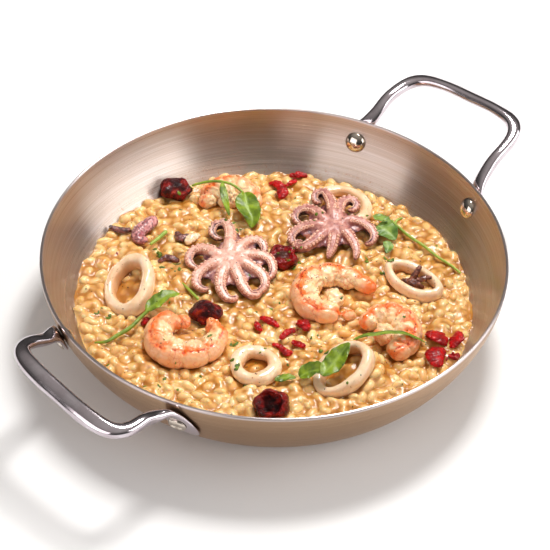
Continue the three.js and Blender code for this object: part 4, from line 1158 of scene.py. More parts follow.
# ---- geometry node instances
@dataclass
class Scatter:
    """Places a small shape on many points with Geometry Nodes."""

    kitchen: Kitchen

    def tree(self, name: str, shape: Piece, finish: Material) -> NodeTree:
        """A tree that puts a shape on each point, turned and scaled by the point's attributes.

        Args:
            name: the tree's name.
            shape: the small object to repeat.
            finish: the material of the result.

        Returns:
            The tree, with an input for the overall size.
        """
        tree = bpy.data.node_groups.new(name, "GeometryNodeTree")
        tree.interface.new_socket("Points", in_out="INPUT", socket_type="NodeSocketGeometry")
        tree.interface.new_socket("Overall Size", in_out="INPUT", socket_type="NodeSocketFloat")
        tree.interface.new_socket("Pieces", in_out="OUTPUT", socket_type="NodeSocketGeometry")
        graph = Graph(tree)
        ends = graph.add("NodeGroupInput").outputs
        info = graph.add("GeometryNodeObjectInfo")
        info.inputs["Object"].default_value = shape
        turn, size = (
            graph.add("GeometryNodeInputNamedAttribute", data_type="FLOAT_VECTOR") for _ in range(2)
        )
        turn.inputs["Name"].default_value = "turn"
        size.inputs["Name"].default_value = "size"
        scaled = graph.add("ShaderNodeVectorMath", operation="SCALE")
        graph.feed(scaled.inputs[0], size.outputs["Attribute"])
        graph.feed(scaled.inputs["Scale"], ends["Overall Size"])
        rotation = graph.add("FunctionNodeEulerToRotation")
        graph.feed(rotation.inputs[0], turn.outputs["Attribute"])
        put = graph.add("GeometryNodeInstanceOnPoints")
        graph.feed(put.inputs["Points"], ends["Points"])
        graph.feed(put.inputs["Instance"], info.outputs["Geometry"])
        graph.feed(put.inputs["Rotation"], rotation.outputs[0])
        graph.feed(put.inputs["Scale"], scaled.outputs[0])
        real = graph.add("GeometryNodeRealizeInstances")
        graph.feed(real.inputs[0], put.outputs[0])
        paint = graph.add("GeometryNodeSetMaterial")
        graph.feed(paint.inputs["Geometry"], real.outputs[0])
        paint.inputs["Material"].default_value = finish
        graph.feed(graph.add("NodeGroupOutput").inputs[0], paint.outputs[0])
        return tree

    def lay(
        self, name: str, shape: Skin, finish: Material, slot: str, points: Array,
        turns: Array, sizes: Array, marks: dict[Layer, Array] | None = None,
    ) -> None:
        """Makes one piece of many copies of a small shape.

        Args:
            name: the piece's name.
            shape: the small shape about the origin, in millimetres.
            finish: its material.
            slot: not used.
            points: places in the pan's frame, in millimetres.
            turns: Euler angles at each place.
            sizes: scales at each place.
            marks: patterns with one value for each place.
        """
        mesh = raw_mesh(f"{name}_shape", shape)
        small = link_object(f"{name}_shape", mesh)
        cloud = bpy.data.meshes.new(f"{name}_points")
        cloud.from_pydata((points * METRE).tolist(), [], [])
        for label, rows in (("turn", turns), ("size", sizes)):
            attribute = cloud.attributes.new(label, "FLOAT_VECTOR", "POINT")
            attribute.data.foreach_set("vector", np.ascontiguousarray(rows, np.float32).ravel())
        for layer, values in (marks or {}).items():
            attribute = cloud.attributes.new(layer.value, "FLOAT", "POINT")
            attribute.data.foreach_set("value", np.asarray(values, np.float32))
        holder = link_object(f"{name}_points", cloud)
        modifier = holder.modifiers.new("lay", "NODES")
        modifier.node_group = self.tree(f"{name} layout", small, finish)
        socket = next(i for i in modifier.node_group.interface.items_tree if i.name == "Overall Size")
        modifier[socket.identifier] = 1.0
        result = baked(holder, name)
        for spare in (holder, small):
            bpy.data.objects.remove(spare)
        bpy.data.meshes.remove(cloud)
        result.shade_smooth()
        for label in ("turn", "size"):
            if label in result.attributes:
                result.attributes.remove(result.attributes[label])
        self.kitchen.dish_up(name, result, finish, slot)


# ---- octopuses
def sucker_cup() -> Skin:
    """A small sucker about the origin: a ring with a sunk middle."""
    profile = np.array([[1.0, -0.5], [1.04, 0.12], [0.82, 0.56], [0.5, 0.66], [0.26, 0.48]])
    angle = np.linspace(0.0, 2 * math.pi, 9, endpoint=False)
    rings = np.stack(
        [
            profile[:, :1] * np.cos(angle), profile[:, :1] * np.sin(angle),
            np.repeat(profile[:, 1:], len(angle), axis=1),
        ],
        axis=2,
    )
    skin = ring_skin(rings)
    skin.marks[Layer.DEEP] = np.append(np.repeat([0.3, 0.1, 0.0, 0.2, 0.9], len(angle)), [0.3, 1.0])
    return skin


@dataclass
class Octopus:
    """A baby octopus lying mouth up, with arms that splay, sag and curl."""

    node: str
    middle: Place
    web: Place
    root: float
    tip: float
    arms: tuple[Route, ...]
    curl_shade: float
    paints: tuple[Paint, Paint, Paint]
    dark_arm: int = -1
    steps: int = 64

    def radii(self) -> list[float]:
        """Half widths along an arm."""
        return [self.root * share for share in (1.16, 1.12, 1.06, 0.98, 0.86, 0.66, self.tip / self.root)]

    def full_route(self, route: Route) -> list[list[float]]:
        """An arm's route from inside the web."""
        middle = self.middle
        start = [0.6 * middle[i] + 0.4 * route[0][i] for i in range(2)]
        before, last = np.array(route[-2][:2]), np.array(route[-1][:2])
        earlier = np.array(route[-3][:2])
        step, old = last - before, before - earlier
        turn = math.atan2(old[0] * step[1] - old[1] * step[0], float(old @ step))
        turn = math.copysign(min(max(abs(turn), 0.9), 1.35), turn)
        cos, sin = math.cos(turn), math.sin(turn)
        reach = 0.85 * unit(step) * min(float(np.linalg.norm(step)), 4.6)
        curl = [last[0] + reach[0] * cos - reach[1] * sin, last[1] + reach[0] * sin + reach[1] * cos]
        inner = [[*curl, route[-1][2] - 0.3]] if len(route) > 4 else []
        return [[*start, middle[2] - 0.6], *[list(place) for place in route], *inner]

    def build(self, kitchen: Kitchen, finishes: Finishes, scatter: Scatter) -> None:
        """Makes the flesh and its suckers."""
        routes = [self.full_route(route) for route in self.arms]
        lines = [curve_through(over(route), self.steps) for route in routes]
        parts = [ball(self.middle, self.web)]
        parts.extend(tube(route, self.radii(), sides=16, steps=self.steps) for route in routes)
        parts.extend(self.webbing(lines))
        radius = spread(self.radii(), np.linspace(0.0, 1.0, self.steps + 1))
        skin = self.patterned(melted(parts, 0.52, 5), lines, radius)
        flesh = finishes.octopus_flesh(self.node, *self.paints)
        kitchen.serve(f"{self.node}_flesh", skin, flesh, "octopus", [self.node])
        self.suckers(skin, lines, radius, scatter, finishes)

    def patterned(self, skin: Skin, lines: list[Array], radius: Array) -> Skin:
        """Marks the dark undersides, the painted shade inside the curling tips, and the ridges, and presses a
        groove along each arm.
        """
        share = np.linspace(0.0, 1.0, self.steps + 1)
        stacked = np.array(lines)
        arm, k = np.divmod(nearest(stacked.reshape(-1, 3), skin.points), self.steps + 1)
        away = skin.points - stacked[arm, k]
        frames = [cross_frames(line) for line in lines]
        side = np.array([f[0] for f in frames])[arm, k]
        lateral = (away * side).sum(axis=1) / radius[k]
        level = away[:, 2] / radius[k]
        wander = ripple(skin.points, 3.2, 4.0)
        under = clamp(0.42 - level + 0.25 * wander)
        tips = clamp((share[k] - 0.45) / 0.3)
        curl = self.inner_side(stacked, arm, k, away)
        # The inner side of each curling tip is darkened as painted shade.
        deep = clamp(0.95 * under + self.curl_shade * tips * clamp(0.1 + 1.2 * curl) + 0.15 * wander)
        shaded = (arm == self.dark_arm) * clamp((share[k] - 0.35) / 0.3)
        deep = clamp(deep + shaded * (0.4 + 0.5 * wander + 0.3 * np.clip(-level, -0.5, 1.0)))
        outer = clamp((share[k] - 0.18) / 0.2)
        ridge = outer * clamp((np.abs(lateral) - 0.3) * 2.5) * clamp(level * 2 + 0.6)
        skin.marks = {Layer.DEEP: deep, Layer.RIDGE: ridge}
        groove = outer * np.exp(-((lateral / 0.2) ** 2)) * clamp(level)
        return pushed(skin, 0.16 * ripple(skin.points, 1.5, 9.0) - 0.25 * groove)

    @staticmethod
    def inner_side(lines: Array, arm: Array, k: Array, away: Array) -> Array:
        """How far each point faces the inside of its arm's curl."""
        hub = lines[:, -18:].mean(axis=1)[arm]
        towards = unit(hub - lines[arm, k])
        return (unit(away) * towards).sum(axis=1)

    def webbing(self, lines: list[Array]) -> list[Skin]:
        """Thin flesh between neighbouring arms, hollowed at its edge."""
        middle = over([self.middle])[0]
        angles = [math.atan2(*(line[8] - middle)[1::-1]) for line in lines]
        order = np.argsort(angles)
        made: list[Skin] = []
        for i, j in zip(order, np.roll(order, -1)):
            for k in range(2, 29, 2):
                one, other = lines[i][k], lines[j][k]
                apart = np.linalg.norm(one - other) / 2
                if apart > 7.6:
                    break
                for lean in (-0.55, 0.0, 0.55):
                    place = one * (0.5 - lean / 2) + other * (0.5 + lean / 2)
                    place = place - unit(place - middle) * apart * 0.42 * (1 - abs(lean))
                    place[2] = min(one[2], other[2]) - 0.9 - FOOD_LEVEL
                    made.append(ball(place, (apart * 0.42 + 0.8, apart * 0.42 + 0.8, 1.4), 2))
        return made

    def suckers(
        self, skin: Skin, lines: list[Array], radius: Array, scatter: Scatter, finishes: Finishes
    ) -> None:
        """Two rows of suckers along each arm."""
        tree = BVHTree.FromPolygons(skin.points.tolist(), skin.faces)
        random = np.random.default_rng(len(self.node))
        points, turns, sizes, tints = [], [], [], []
        for line in lines:
            side, _ = cross_frames(line)
            reach = np.concatenate([[0.0], np.cumsum(np.linalg.norm(np.diff(line, axis=0), axis=1))])
            at, row = reach[14], 1
            while at < reach[-1] * 0.97:
                k = int(np.searchsorted(reach, at))
                cup = float(np.clip(radius[k] * 0.34, 0.5, 1.1))
                target = line[k] + side[k] * row * radius[k] * 0.8 + UP * radius[k] * 0.8
                place, normal, _, _ = tree.find_nearest(target.tolist())
                points.append(place[:])
                turn = normal.to_track_quat("Z", "Y").to_euler()
                turns.append([turn.x, turn.y, turn.z + PLAN_TURN])
                sizes.append([cup * random.uniform(0.85, 1.12)] * 3)
                tints.append(random.random())
                at, row = at + cup * 1.0, -row
        scatter.lay(
            f"{self.node}_suckers", sucker_cup(), finishes.suckers, "octopus",
            from_plan(np.array(points)), np.array(turns), np.array(sizes), {Layer.TINT: np.array(tints)},
        )


OCTOPUSES = (
    Octopus(
        "octopus_left", (-26.5, 24.5, 6.4), (10.5, 10, 3.6), 3.3, 1.3,
        (
            (
                (-26, 35, 7.2), (-26, 47.5, 7), (-29, 55, 6.5), (-35, 54.5, 5.5), (-36.5, 49, 4.5),
                (-33.5, 45.5, 4),
            ),
            ((-20.5, 33, 7), (-14.5, 41, 6), (-9, 42, 5), (-6, 37.5, 4), (-7, 33, 3.2)),
            ((-18, 27, 7), (-10.5, 29, 6), (-3, 26.5, 5), (-0.5, 19.5, 4), (-2.5, 13.5, 3.2)),
            ((-18.5, 21.5, 7), (-11.5, 17.5, 6), (-6, 12, 5), (-5, 5, 4), (-9, 1, 3.2)),
            ((-23, 17, 7), (-20, 10, 6), (-17, 2.5, 5), (-12.5, -2.5, 4), (-8.5, -1, 3.2)),
            ((-28, 16.5, 7), (-30, 9, 6), (-29.5, 0, 5), (-25.5, -6, 4), (-21.5, -5, 3.2)),
            ((-33, 20.5, 7), (-39, 17, 6), (-43.5, 11, 5), (-43.5, 4.5, 4), (-39.5, 2, 3.2)),
            ((-34, 28.5, 7), (-41, 33, 6), (-46.5, 32, 5), (-49, 26.5, 4), (-46.5, 21.5, 3.2)),
        ),
        1.5, (srgb(244, 206, 188), srgb(226, 160, 138), srgb(190, 108, 76)), 0,
    ),
    Octopus(
        "octopus_right", (33.5, 54.5, 6.4), (10, 10, 3.6), 3.2, 1.3,
        (
            ((33.5, 65, 7.6), (32, 76, 8.2), (27.5, 84, 8.2), (23, 82.5, 7.4), (23.5, 77.5, 6.6)),
            ((36.5, 64.5, 7.4), (38.5, 74.5, 8), (43.5, 78, 8), (47.5, 74.5, 7.4), (45.5, 70.5, 6.8)),
            ((42, 60, 7.2), (48.5, 60, 6.6), (54.5, 56.5, 5.4), (57.5, 50, 4.4), (55.5, 45.5, 3.6)),
            ((40, 50.5, 7), (44.5, 44.5, 6), (47, 37, 5), (46.5, 30, 4)),
            ((34, 44.5, 7), (33, 37.5, 5.5), (30.5, 30.5, 4)),
            ((27.5, 48, 7), (22, 41.5, 6), (16.5, 38, 5), (12.5, 39.5, 4), (13, 44.5, 3.2)),
            ((25, 55.5, 7), (18.5, 55.5, 6), (12.5, 52.5, 5), (9.5, 47.5, 4), (11, 43, 3.2)),
            ((27, 62.5, 7), (21.5, 70, 6), (15.5, 71.5, 5), (11.5, 68, 4), (12, 63.5, 3.2)),
        ),
        1.5, (srgb(220, 164, 148), srgb(162, 94, 88), srgb(162, 88, 58)),
    ),
)


# ---- squid rings
@dataclass
class SquidRing:
    """A squid ring: an oval through two half axes, each in plan with a height."""

    node: str
    middle: Place
    a: Place
    b: Place
    wall: float
    band: float
    seed: int
    steps: int = 120
    sides: int = 28

    def build(self, kitchen: Kitchen, finish: Material) -> None:
        """Makes the ring with its crowned, slightly uneven wall."""
        half_a, half_b = np.array(self.a, float), np.array(self.b, float)
        normal = unit(np.cross(half_b, half_a))
        theta = np.linspace(0.0, 2 * math.pi, self.steps, endpoint=False)
        phase = self.seed * 1.7
        sway = 1 + 0.02 * np.sin(3 * theta + phase)
        place = (np.cos(theta)[:, None] * half_a + np.sin(theta)[:, None] * half_b) * sway[:, None]
        along = unit(np.cos(theta)[:, None] * half_b - np.sin(theta)[:, None] * half_a)
        outward = -np.cross(along, normal)
        wall = self.wall * (1 + 0.09 * np.sin(2 * theta + phase) + 0.05 * np.sin(5 * theta + 2 * phase))
        band = self.band * (1 + 0.07 * np.sin(2 * theta + 3 * phase) + 0.04 * np.sin(7 * theta))
        centre = over([self.middle])[0] + place - outward * self.wall
        turn = np.linspace(0.0, 2 * math.pi, self.sides, endpoint=False)
        across, upward = boxed(np.cos(turn), 0.82), boxed(np.sin(turn), 0.9)
        lean = 0.1 * np.sin(theta + phase)
        outs = wall[:, None] * across + lean[:, None] * band[:, None] * upward
        rings = (
            centre[:, None, :] + outward[:, None, :] * outs[:, :, None]
            + normal * (band[:, None] * upward)[:, :, None]
        )
        skin = ring_skin(rings, endless=True)
        # INSIDE marks the ring's inner face, which the finish paints deeper yellow as painted reflection and
        # shade.
        inner = clamp(-np.cos(turn) * 1.3 - 0.25 * np.sin(turn))
        skin.marks[Layer.INSIDE] = np.tile(inner, self.steps)
        broad, fine = (ripple(skin.points, size, self.seed) for size in (5.0, 1.2))
        skin = pushed(skin, 0.22 * broad + 0.06 * fine)
        kitchen.serve(f"{self.node}_flesh", skin, finish, "squid", [self.node])


SQUID_RINGS = (
    SquidRing("squid_ring_left", (-81, 1.5, 5), (8.6, 15.6, 7), (11, -12.6, 2.4), 3.5, 5, 1),
    SquidRing("squid_ring_front", (-8.8, -56.8, 2), (0, 14.6, 0), (14.2, 0, 0), 3.8, 4, 2),
    SquidRing("squid_ring_front_right", (39.3, -61.5, 5.5), (11, 14.2, 7), (11.6, -9.6, 3.9), 3.2, 4.6, 3),
    SquidRing("squid_ring_right", (79.4, 15.2, 2.6), (-15.3, 12.2, 0), (6.4, 9.6, 0), 2.6, 3.8, 4),
    SquidRing("squid_ring_back", (38, 78.5, 1.6), (18.6, 1, 0), (-1, 18.8, 0), 3.6, 3.2, 5),
)


# ---- prawns
@dataclass
class Prawn:
    """A peeled prawn curled along a route, with segments, cracks and lumps of flesh."""

    node: str
    route: Route
    radii: tuple[float, ...]
    lumps: tuple[tuple[float, float, float, float], ...]
    seed: int
    blush: float = 1.0
    tail: float = 0.1
    head: float = 1.0
    segments: int = 7
    steps: int = 110

    def build(self, kitchen: Kitchen, finish: Material) -> None:
        """Makes the flesh with its grooves and its painted back."""
        high = [radius * 0.92 for radius in self.radii]
        body = tube(self.route, self.radii, high, sides=28, steps=self.steps)
        lumps = [ball((u, v, h), (r, r, r * 0.85)) for u, v, h, r in self.lumps]
        line = curve_through(over(self.route), self.steps)
        random = np.random.default_rng(self.seed)
        hub = line.mean(axis=0)
        radius = spread(self.radii, np.linspace(0.0, 1.0, self.steps + 1))
        for _ in range(24):
            k = int(random.integers(4, self.steps - 4))
            inward = unit((hub - line[k]) * np.array([1.0, 1.0, 0.0]))
            place = line[k] + inward * radius[k] * random.uniform(-0.2, 0.7)
            place = place + UP * radius[k] * random.uniform(0.2, 0.5)
            size = radius[k] * random.uniform(0.36, 0.5)
            lumps.append(ball((place[0], place[1], place[2] - FOOD_LEVEL), (size, size, size * 0.9), 2))
        skin = melted([body, *lumps], 0.55, 5)
        k = nearest(line, skin.points)
        share = k / self.steps
        away = (skin.points - line[k]) / radius[k][:, None]
        outwards = unit((line - hub) * np.array([1.0, 1.0, 0.0]))[k]
        outer = (away * outwards).sum(axis=1)
        wander = ripple(skin.points, 5.0, self.seed)
        broken = ripple(skin.points, 3.0, self.seed + 9, 3)
        upper = clamp(away[:, 2] + 0.6)
        seam = outer - 0.46 - 0.12 * wander
        crease = np.exp(-((seam / 0.1) ** 2)) * upper
        wave = np.abs(np.sin((share * self.segments + 0.08 * wander + 0.12 * outer) * math.pi))
        groove = clamp(1 - wave / 0.3) * np.clip(0.6 + outer, 0.15, 1.0)
        bulge = 1.25 * (np.sqrt(wave) - 0.75) * np.clip(1.3 - 0.5 * outer, 0.6, 1.6)
        between = clamp(1 - wave / 0.6) * clamp(1.2 - np.abs(outer - 0.05) / 0.6)
        smooth_tail = np.clip((share - self.tail) / 0.08, 0.15, 1.0)
        lumpy = ripple(skin.points, 3.2, self.seed + 3, 2) * np.clip(0.75 - outer, 0.1, 1.3) * smooth_tail
        fine = 0.14 * ripple(skin.points, 1.2, self.seed + 4, 2)
        skin = pushed(skin, bulge + lumpy + fine - 0.35 * groove - 0.55 * crease)
        head = self.head * clamp((share - 0.86) / 0.1)
        ends = head + clamp((self.tail - share) / 0.08)
        skin.marks = {
            Layer.RIDGE: clamp(
                self.blush * (
                    np.exp(-(((seam + 0.2) / 0.3) ** 2)) * upper * (1.0 + 2.0 * wander) + 0.8 * ends
                    + between * upper * (0.8 + 1.2 * broken)
                )),
            Layer.DEEP: clamp(
                crease * (0.7 + 1.8 * broken) + groove * clamp(0.5 - outer) * (0.6 + 1.6 * broken)),
            Layer.INSIDE: clamp(0.5 - seam / 0.2),
        }
        kitchen.serve(f"{self.node}_flesh", skin, finish, "prawn", [self.node])


PRAWNS = (
    Prawn(
        "prawn_front_left",
        (
            (-53, -24.5, 6.5), (-61, -31, 6), (-63, -41.5, 5), (-57.5, -50.5, 4.8), (-47, -53, 4.8),
            (-36.5, -50, 5.2), (-30.5, -41, 5.6), (-29, -30.5, 6),
        ),
        (5, 7.4, 8, 8.2, 7.8, 7.2, 6.4, 3.6), ((-50, -28.5, 7, 5.2), (-32.5, -30, 6.6, 4.6)), 31, 1.0, 0.16,
    ),
    Prawn(
        "prawn_centre",
        (
            (58, 3, 4.5), (49.5, 9, 6), (39, 13, 6.5), (28, 13.5, 6.5), (20, 8.5, 6), (17.5, -1, 5.5),
            (21, -11.5, 5), (29, -16, 5), (38, -15.5, 5),
        ),
        (3, 5.2, 6.4, 7.2, 7.8, 8, 7.8, 6.6, 4.4), ((34, -6, 6.5, 6), (42.5, -15.5, 4, 4.2)),
        32, 1.15, 0.14, 0.0,
    ),
    Prawn(
        "prawn_right",
        (
            (50, -27, 4.5), (55.5, -20.5, 5.5), (64.5, -18, 6), (72.5, -23, 6), (75, -32.5, 5.5),
            (71.5, -42.5, 5), (64, -47, 4.5),
        ),
        (4.2, 6.4, 7.8, 8.2, 8, 7.4, 5), ((62, -33, 6, 6.2),), 33, 1.9, 0.04, 0.2,
    ),
    Prawn(
        "prawn_back",
        (
            (-42, 76.5, 1), (-39, 86, 2.5), (-30.5, 92.5, 3.5), (-20, 91.5, 3.5), (-13.5, 84.5, 2.5),
            (-12.5, 77, 1),
        ),
        (3.6, 6.2, 7.2, 7, 6, 3.4), ((-28, 83, 2.5, 6.4),), 34, 0.8, -0.2, 0.1,
    ),
)


# ---- tomatoes
@dataclass
class Tomato:
    """A wrinkled, collapsed tomato whose skin folds in lobes, with a dimple where it was cut."""

    node: str
    middle: Place
    size: Place
    lobes: int
    depth: float
    open: Place
    dimple: float
    phase: float
    flesh: float
    slot: str = "roast_tomato"

    def build(self, kitchen: Kitchen, finish: Material) -> None:
        """Makes the folded ball with its open flesh."""
        made = icosphere(5)
        points = made.points
        mouth = unit(np.array(self.open, float))
        side = unit(np.cross(mouth, np.array([0.3, 1.0, 0.2])))
        other = np.cross(mouth, side)
        facing = points @ mouth
        angle = np.arctan2(points @ other, points @ side)
        wander = ripple(points * 4, 2.2, self.phase)
        folds = np.sin(self.lobes * angle + self.phase + 2 * facing + wander)
        fold = 1 + self.depth * folds * (1 - facing**2)
        wrinkle = 0.05 * np.abs(ripple(points * 8, 1.9, self.phase + 2)) - 0.02
        sunk = self.dimple * clamp((facing + 0.12 * wander - 0.62) / 0.3)
        shape = points * (fold - wrinkle)[:, None] - mouth * sunk[:, None]
        skin = Skin(shape * np.array(self.size) + over([self.middle])[0], made.faces)
        skin.marks[Layer.RIDGE] = clamp((facing + 0.5 * wander - 0.62) / 0.12) * self.flesh
        # INSIDE marks the middle of the sunk dimple, which the finishes darken: painted shade in the hollow,
        # on the cup partly its own dark middle.
        skin.marks[Layer.INSIDE] = clamp((facing + 0.12 * wander - 0.84) / 0.12)
        kitchen.serve(f"{self.node}_skin", skin, finish, self.slot, [self.node])


ROAST_TOMATOES = (
    Tomato("roast_tomato_back", (-59.5, 88.5, 4.6), (9.2, 7.4, 6.2), 5, 0.1, (0.3, -0.4, 0.9), 0.3, 3.0, 0.5),
    Tomato("roast_tomato_centre", (-37.5, -18.5, 5), (9, 6.8, 6.4), 4, 0.09, (0.2, -0.8, 0.5), 0.3, 5.0, 0.6),
    Tomato(
        "roast_tomato_front", (0.8, -88.5, 4.6), (9.8, 8.4, 7.6), 5, 0.07, (-0.25, -0.55, 0.8),
        0.75, 7.0, 0.45,
    ),
)
CUP = Tomato(
    "dried_tomato_cup", (4.5, 31, 3.6), (8.4, 8.2, 6.6), 5, 0.11, (0, -0.25, 1), 0.55, 11.0, 0.0,
    "dried_tomato",
)


# ---- strips and tentacles
@dataclass
class Strip:
    """A shrivelled strip of dried tomato or of tentacle, laid along a route."""

    node: str
    route: Route
    wide: tuple[float, ...]
    high: tuple[float, ...]
    turn: float = 0.0

    def skin(self, wrinkle: float, steps: int = 44) -> Skin:
        """The strip's shape, folded by a depth."""
        made = tube(self.route, self.wide, self.high, sides=26, steps=steps, turn=self.turn)
        seed = sum(map(ord, self.node))
        creases = np.abs(ripple(made.points, 2.4, seed, 2))
        fine = ripple(made.points, 0.8, seed + 1, 2)
        # DEEP marks the crease valleys; the pink curl's finish paints them dark as painted shade.
        made.marks = {Layer.DEEP: clamp(1 - 3 * creases), Layer.INSIDE: np.zeros(len(made.points))}
        sideways = np.stack([ripple(made.points, 1.6, seed + k, 2) for k in (2, 3)], axis=1)
        made.points[:, :2] += 0.6 * wrinkle * sideways
        return pushed(made, wrinkle * (creases * 2.2 - 0.55) + 0.1 * wrinkle * fine)


DRIED_TOMATO_STRIPS = (
    Strip(
        "dried_tomato_strip_back", ((-4.5, 99.5, 1.6), (0, 98.5, 2.2), (3.5, 94.5, 2), (3.5, 85.5, 1.6)),
        (1.2, 2.6, 3, 3.6, 1.4), (0.9, 1.4, 1.6, 1.5, 0.9),
    ),
    Strip(
        "dried_tomato_tail_back", ((5.8, 96.8, 2), (8.8, 99.8, 2.2), (12, 103.2, 1.8)),
        (0.9, 1.6, 1), (0.8, 1.1, 0.8),
    ),
    Strip(
        "dried_tomato_edge", ((7.5, 107, 1.4), (13, 108, 1.8), (18.5, 107.5, 1.4)),
        (1, 2.4, 1), (0.8, 1.5, 0.8),
    ),
    Strip(
        "dried_tomato_petal_left", ((85.5, -26.5, 2.2), (91.5, -31, 3.4), (96.5, -37, 2.6)), (2.8, 6, 2.6),
        (0.9, 1.8, 1), 0.3,
    ),
    Strip(
        "dried_tomato_petal_right", ((103.5, -26, 3), (102.3, -32.5, 3.6), (99, -39, 2.4)), (1.4, 4.6, 2.2),
        (0.8, 1.7, 0.9), -0.4,
    ),
    Strip(
        "dried_tomato_petal_front", ((95.5, -40, 2.4), (90, -45.5, 3.4), (91.5, -54, 2.2)), (2.4, 6, 2.8),
        (0.9, 1.8, 1),
    ),
    Strip(
        "dried_tomato_petal_tail", ((97, -44.5, 2), (100.5, -45.5, 2.4), (103, -43, 2)), (1.4, 2.6, 1.4),
        (0.8, 1.3, 0.8),
    ),
    Strip(
        "dried_tomato_bit_1", ((-7, -17.5, 1.8), (-1.5, -21.5, 2.6), (4, -25, 1.8)),
        (1.2, 2.3, 1.1), (0.8, 1.4, 0.8),
    ),
    Strip(
        "dried_tomato_bit_2", ((-9.5, -21.5, 1.4), (-8, -25.5, 1.8), (-6, -28, 1.2)),
        (1, 2.2, 1), (0.8, 1.3, 0.8),
    ),
    Strip(
        "dried_tomato_bit_3", ((13.5, -20.5, 1.8), (17.5, -23.5, 2.8), (19.5, -27.5, 1.6)),
        (1.6, 3.8, 1.6), (0.9, 1.8, 0.9),
    ),
    Strip(
        "dried_tomato_bit_4", ((12.8, -27, 1.8), (8.5, -29.5, 2.2), (4.5, -34.5, 1.6)),
        (1.4, 2, 1.1), (0.9, 1.3, 0.8),
    ),
    Strip(
        "dried_tomato_bit_5", ((0, -38.5, 1.2), (4.5, -41, 1.5), (8.5, -46, 1.8), (11, -44, 1.6)),
        (1.2, 1.3, 2.3, 1.4), (0.8, 0.9, 1.4, 0.9),
    ),
    Strip(
        "dried_tomato_bit_6", ((11.5, -36, 1.4), (14.5, -39, 2), (18.5, -39.5, 1.4)),
        (1.2, 2.3, 1.1), (0.8, 1.4, 0.8),
    ),
    Strip(
        "dried_tomato_bit_7", ((-72.5, -26.5, 1.6), (-70.5, -23.5, 2.4), (-68.5, -21.5, 2)),
        (1.4, 2.4, 1.4), (0.9, 1.4, 0.9),
    ),
)
PINK_CURL = Strip(
    "squid_curl", ((-69.5, 62, 4.5), (-74, 56.5, 3.8), (-79, 50.5, 3), (-79, 45, 2.6), (-73.5, 43.5, 2.6)),
    (3, 4, 4.4, 4.2, 3.6, 2.4), (2, 2.8, 3, 2.8, 2.4, 1.8),
)
PALE_SCRAP = Strip(
    "squid_scrap", ((-51, 42, 2.2), (-48.5, 46.3, 2.8), (-43.5, 49.5, 2.8)),
    (2, 2.9, 1.8), (1.4, 2, 1.4),
)
TENTACLES = (
    Strip(
        "tentacle_left", ((-97, 56.5, 1.4), (-90, 53, 1.8), (-83.5, 53, 2)),
        (1.2, 2.2, 1.8), (1, 1.5, 1.3),
    ),
    Strip(
        "tentacle_back", ((-57.5, 53, 1.5), (-54, 47, 2.2), (-49.5, 50.5, 1.8)),
        (1.3, 2.8, 1.4), (1, 1.9, 1.1),
    ),
    Strip(
        "tentacle_middle", ((-66.5, 27, 1.3), (-61.5, 30, 2), (-54.5, 27.5, 1.6)),
        (1.1, 2.3, 1.3), (0.9, 1.7, 1.1),
    ),
)
TENTACLE_BUNCH = (
    Strip("a", ((72.5, 16.5, 0.8), (78.5, 13.4, 2.8), (85.5, 11.2, 1.6)), (1.4, 2.6, 1), (1.4, 2.6, 1)),
    Strip("b", ((77.5, 15, 2), (80.5, 17.6, 6), (83.5, 20.5, 9.5)), (1.6, 1.9, 1.1), (1.6, 1.9, 1.1)),
    Strip("c", ((79, 14.5, 2.2), (85, 15.6, 4), (90.5, 15.6, 5.4)), (1.5, 1.6, 1), (1.5, 1.6, 1)),
)


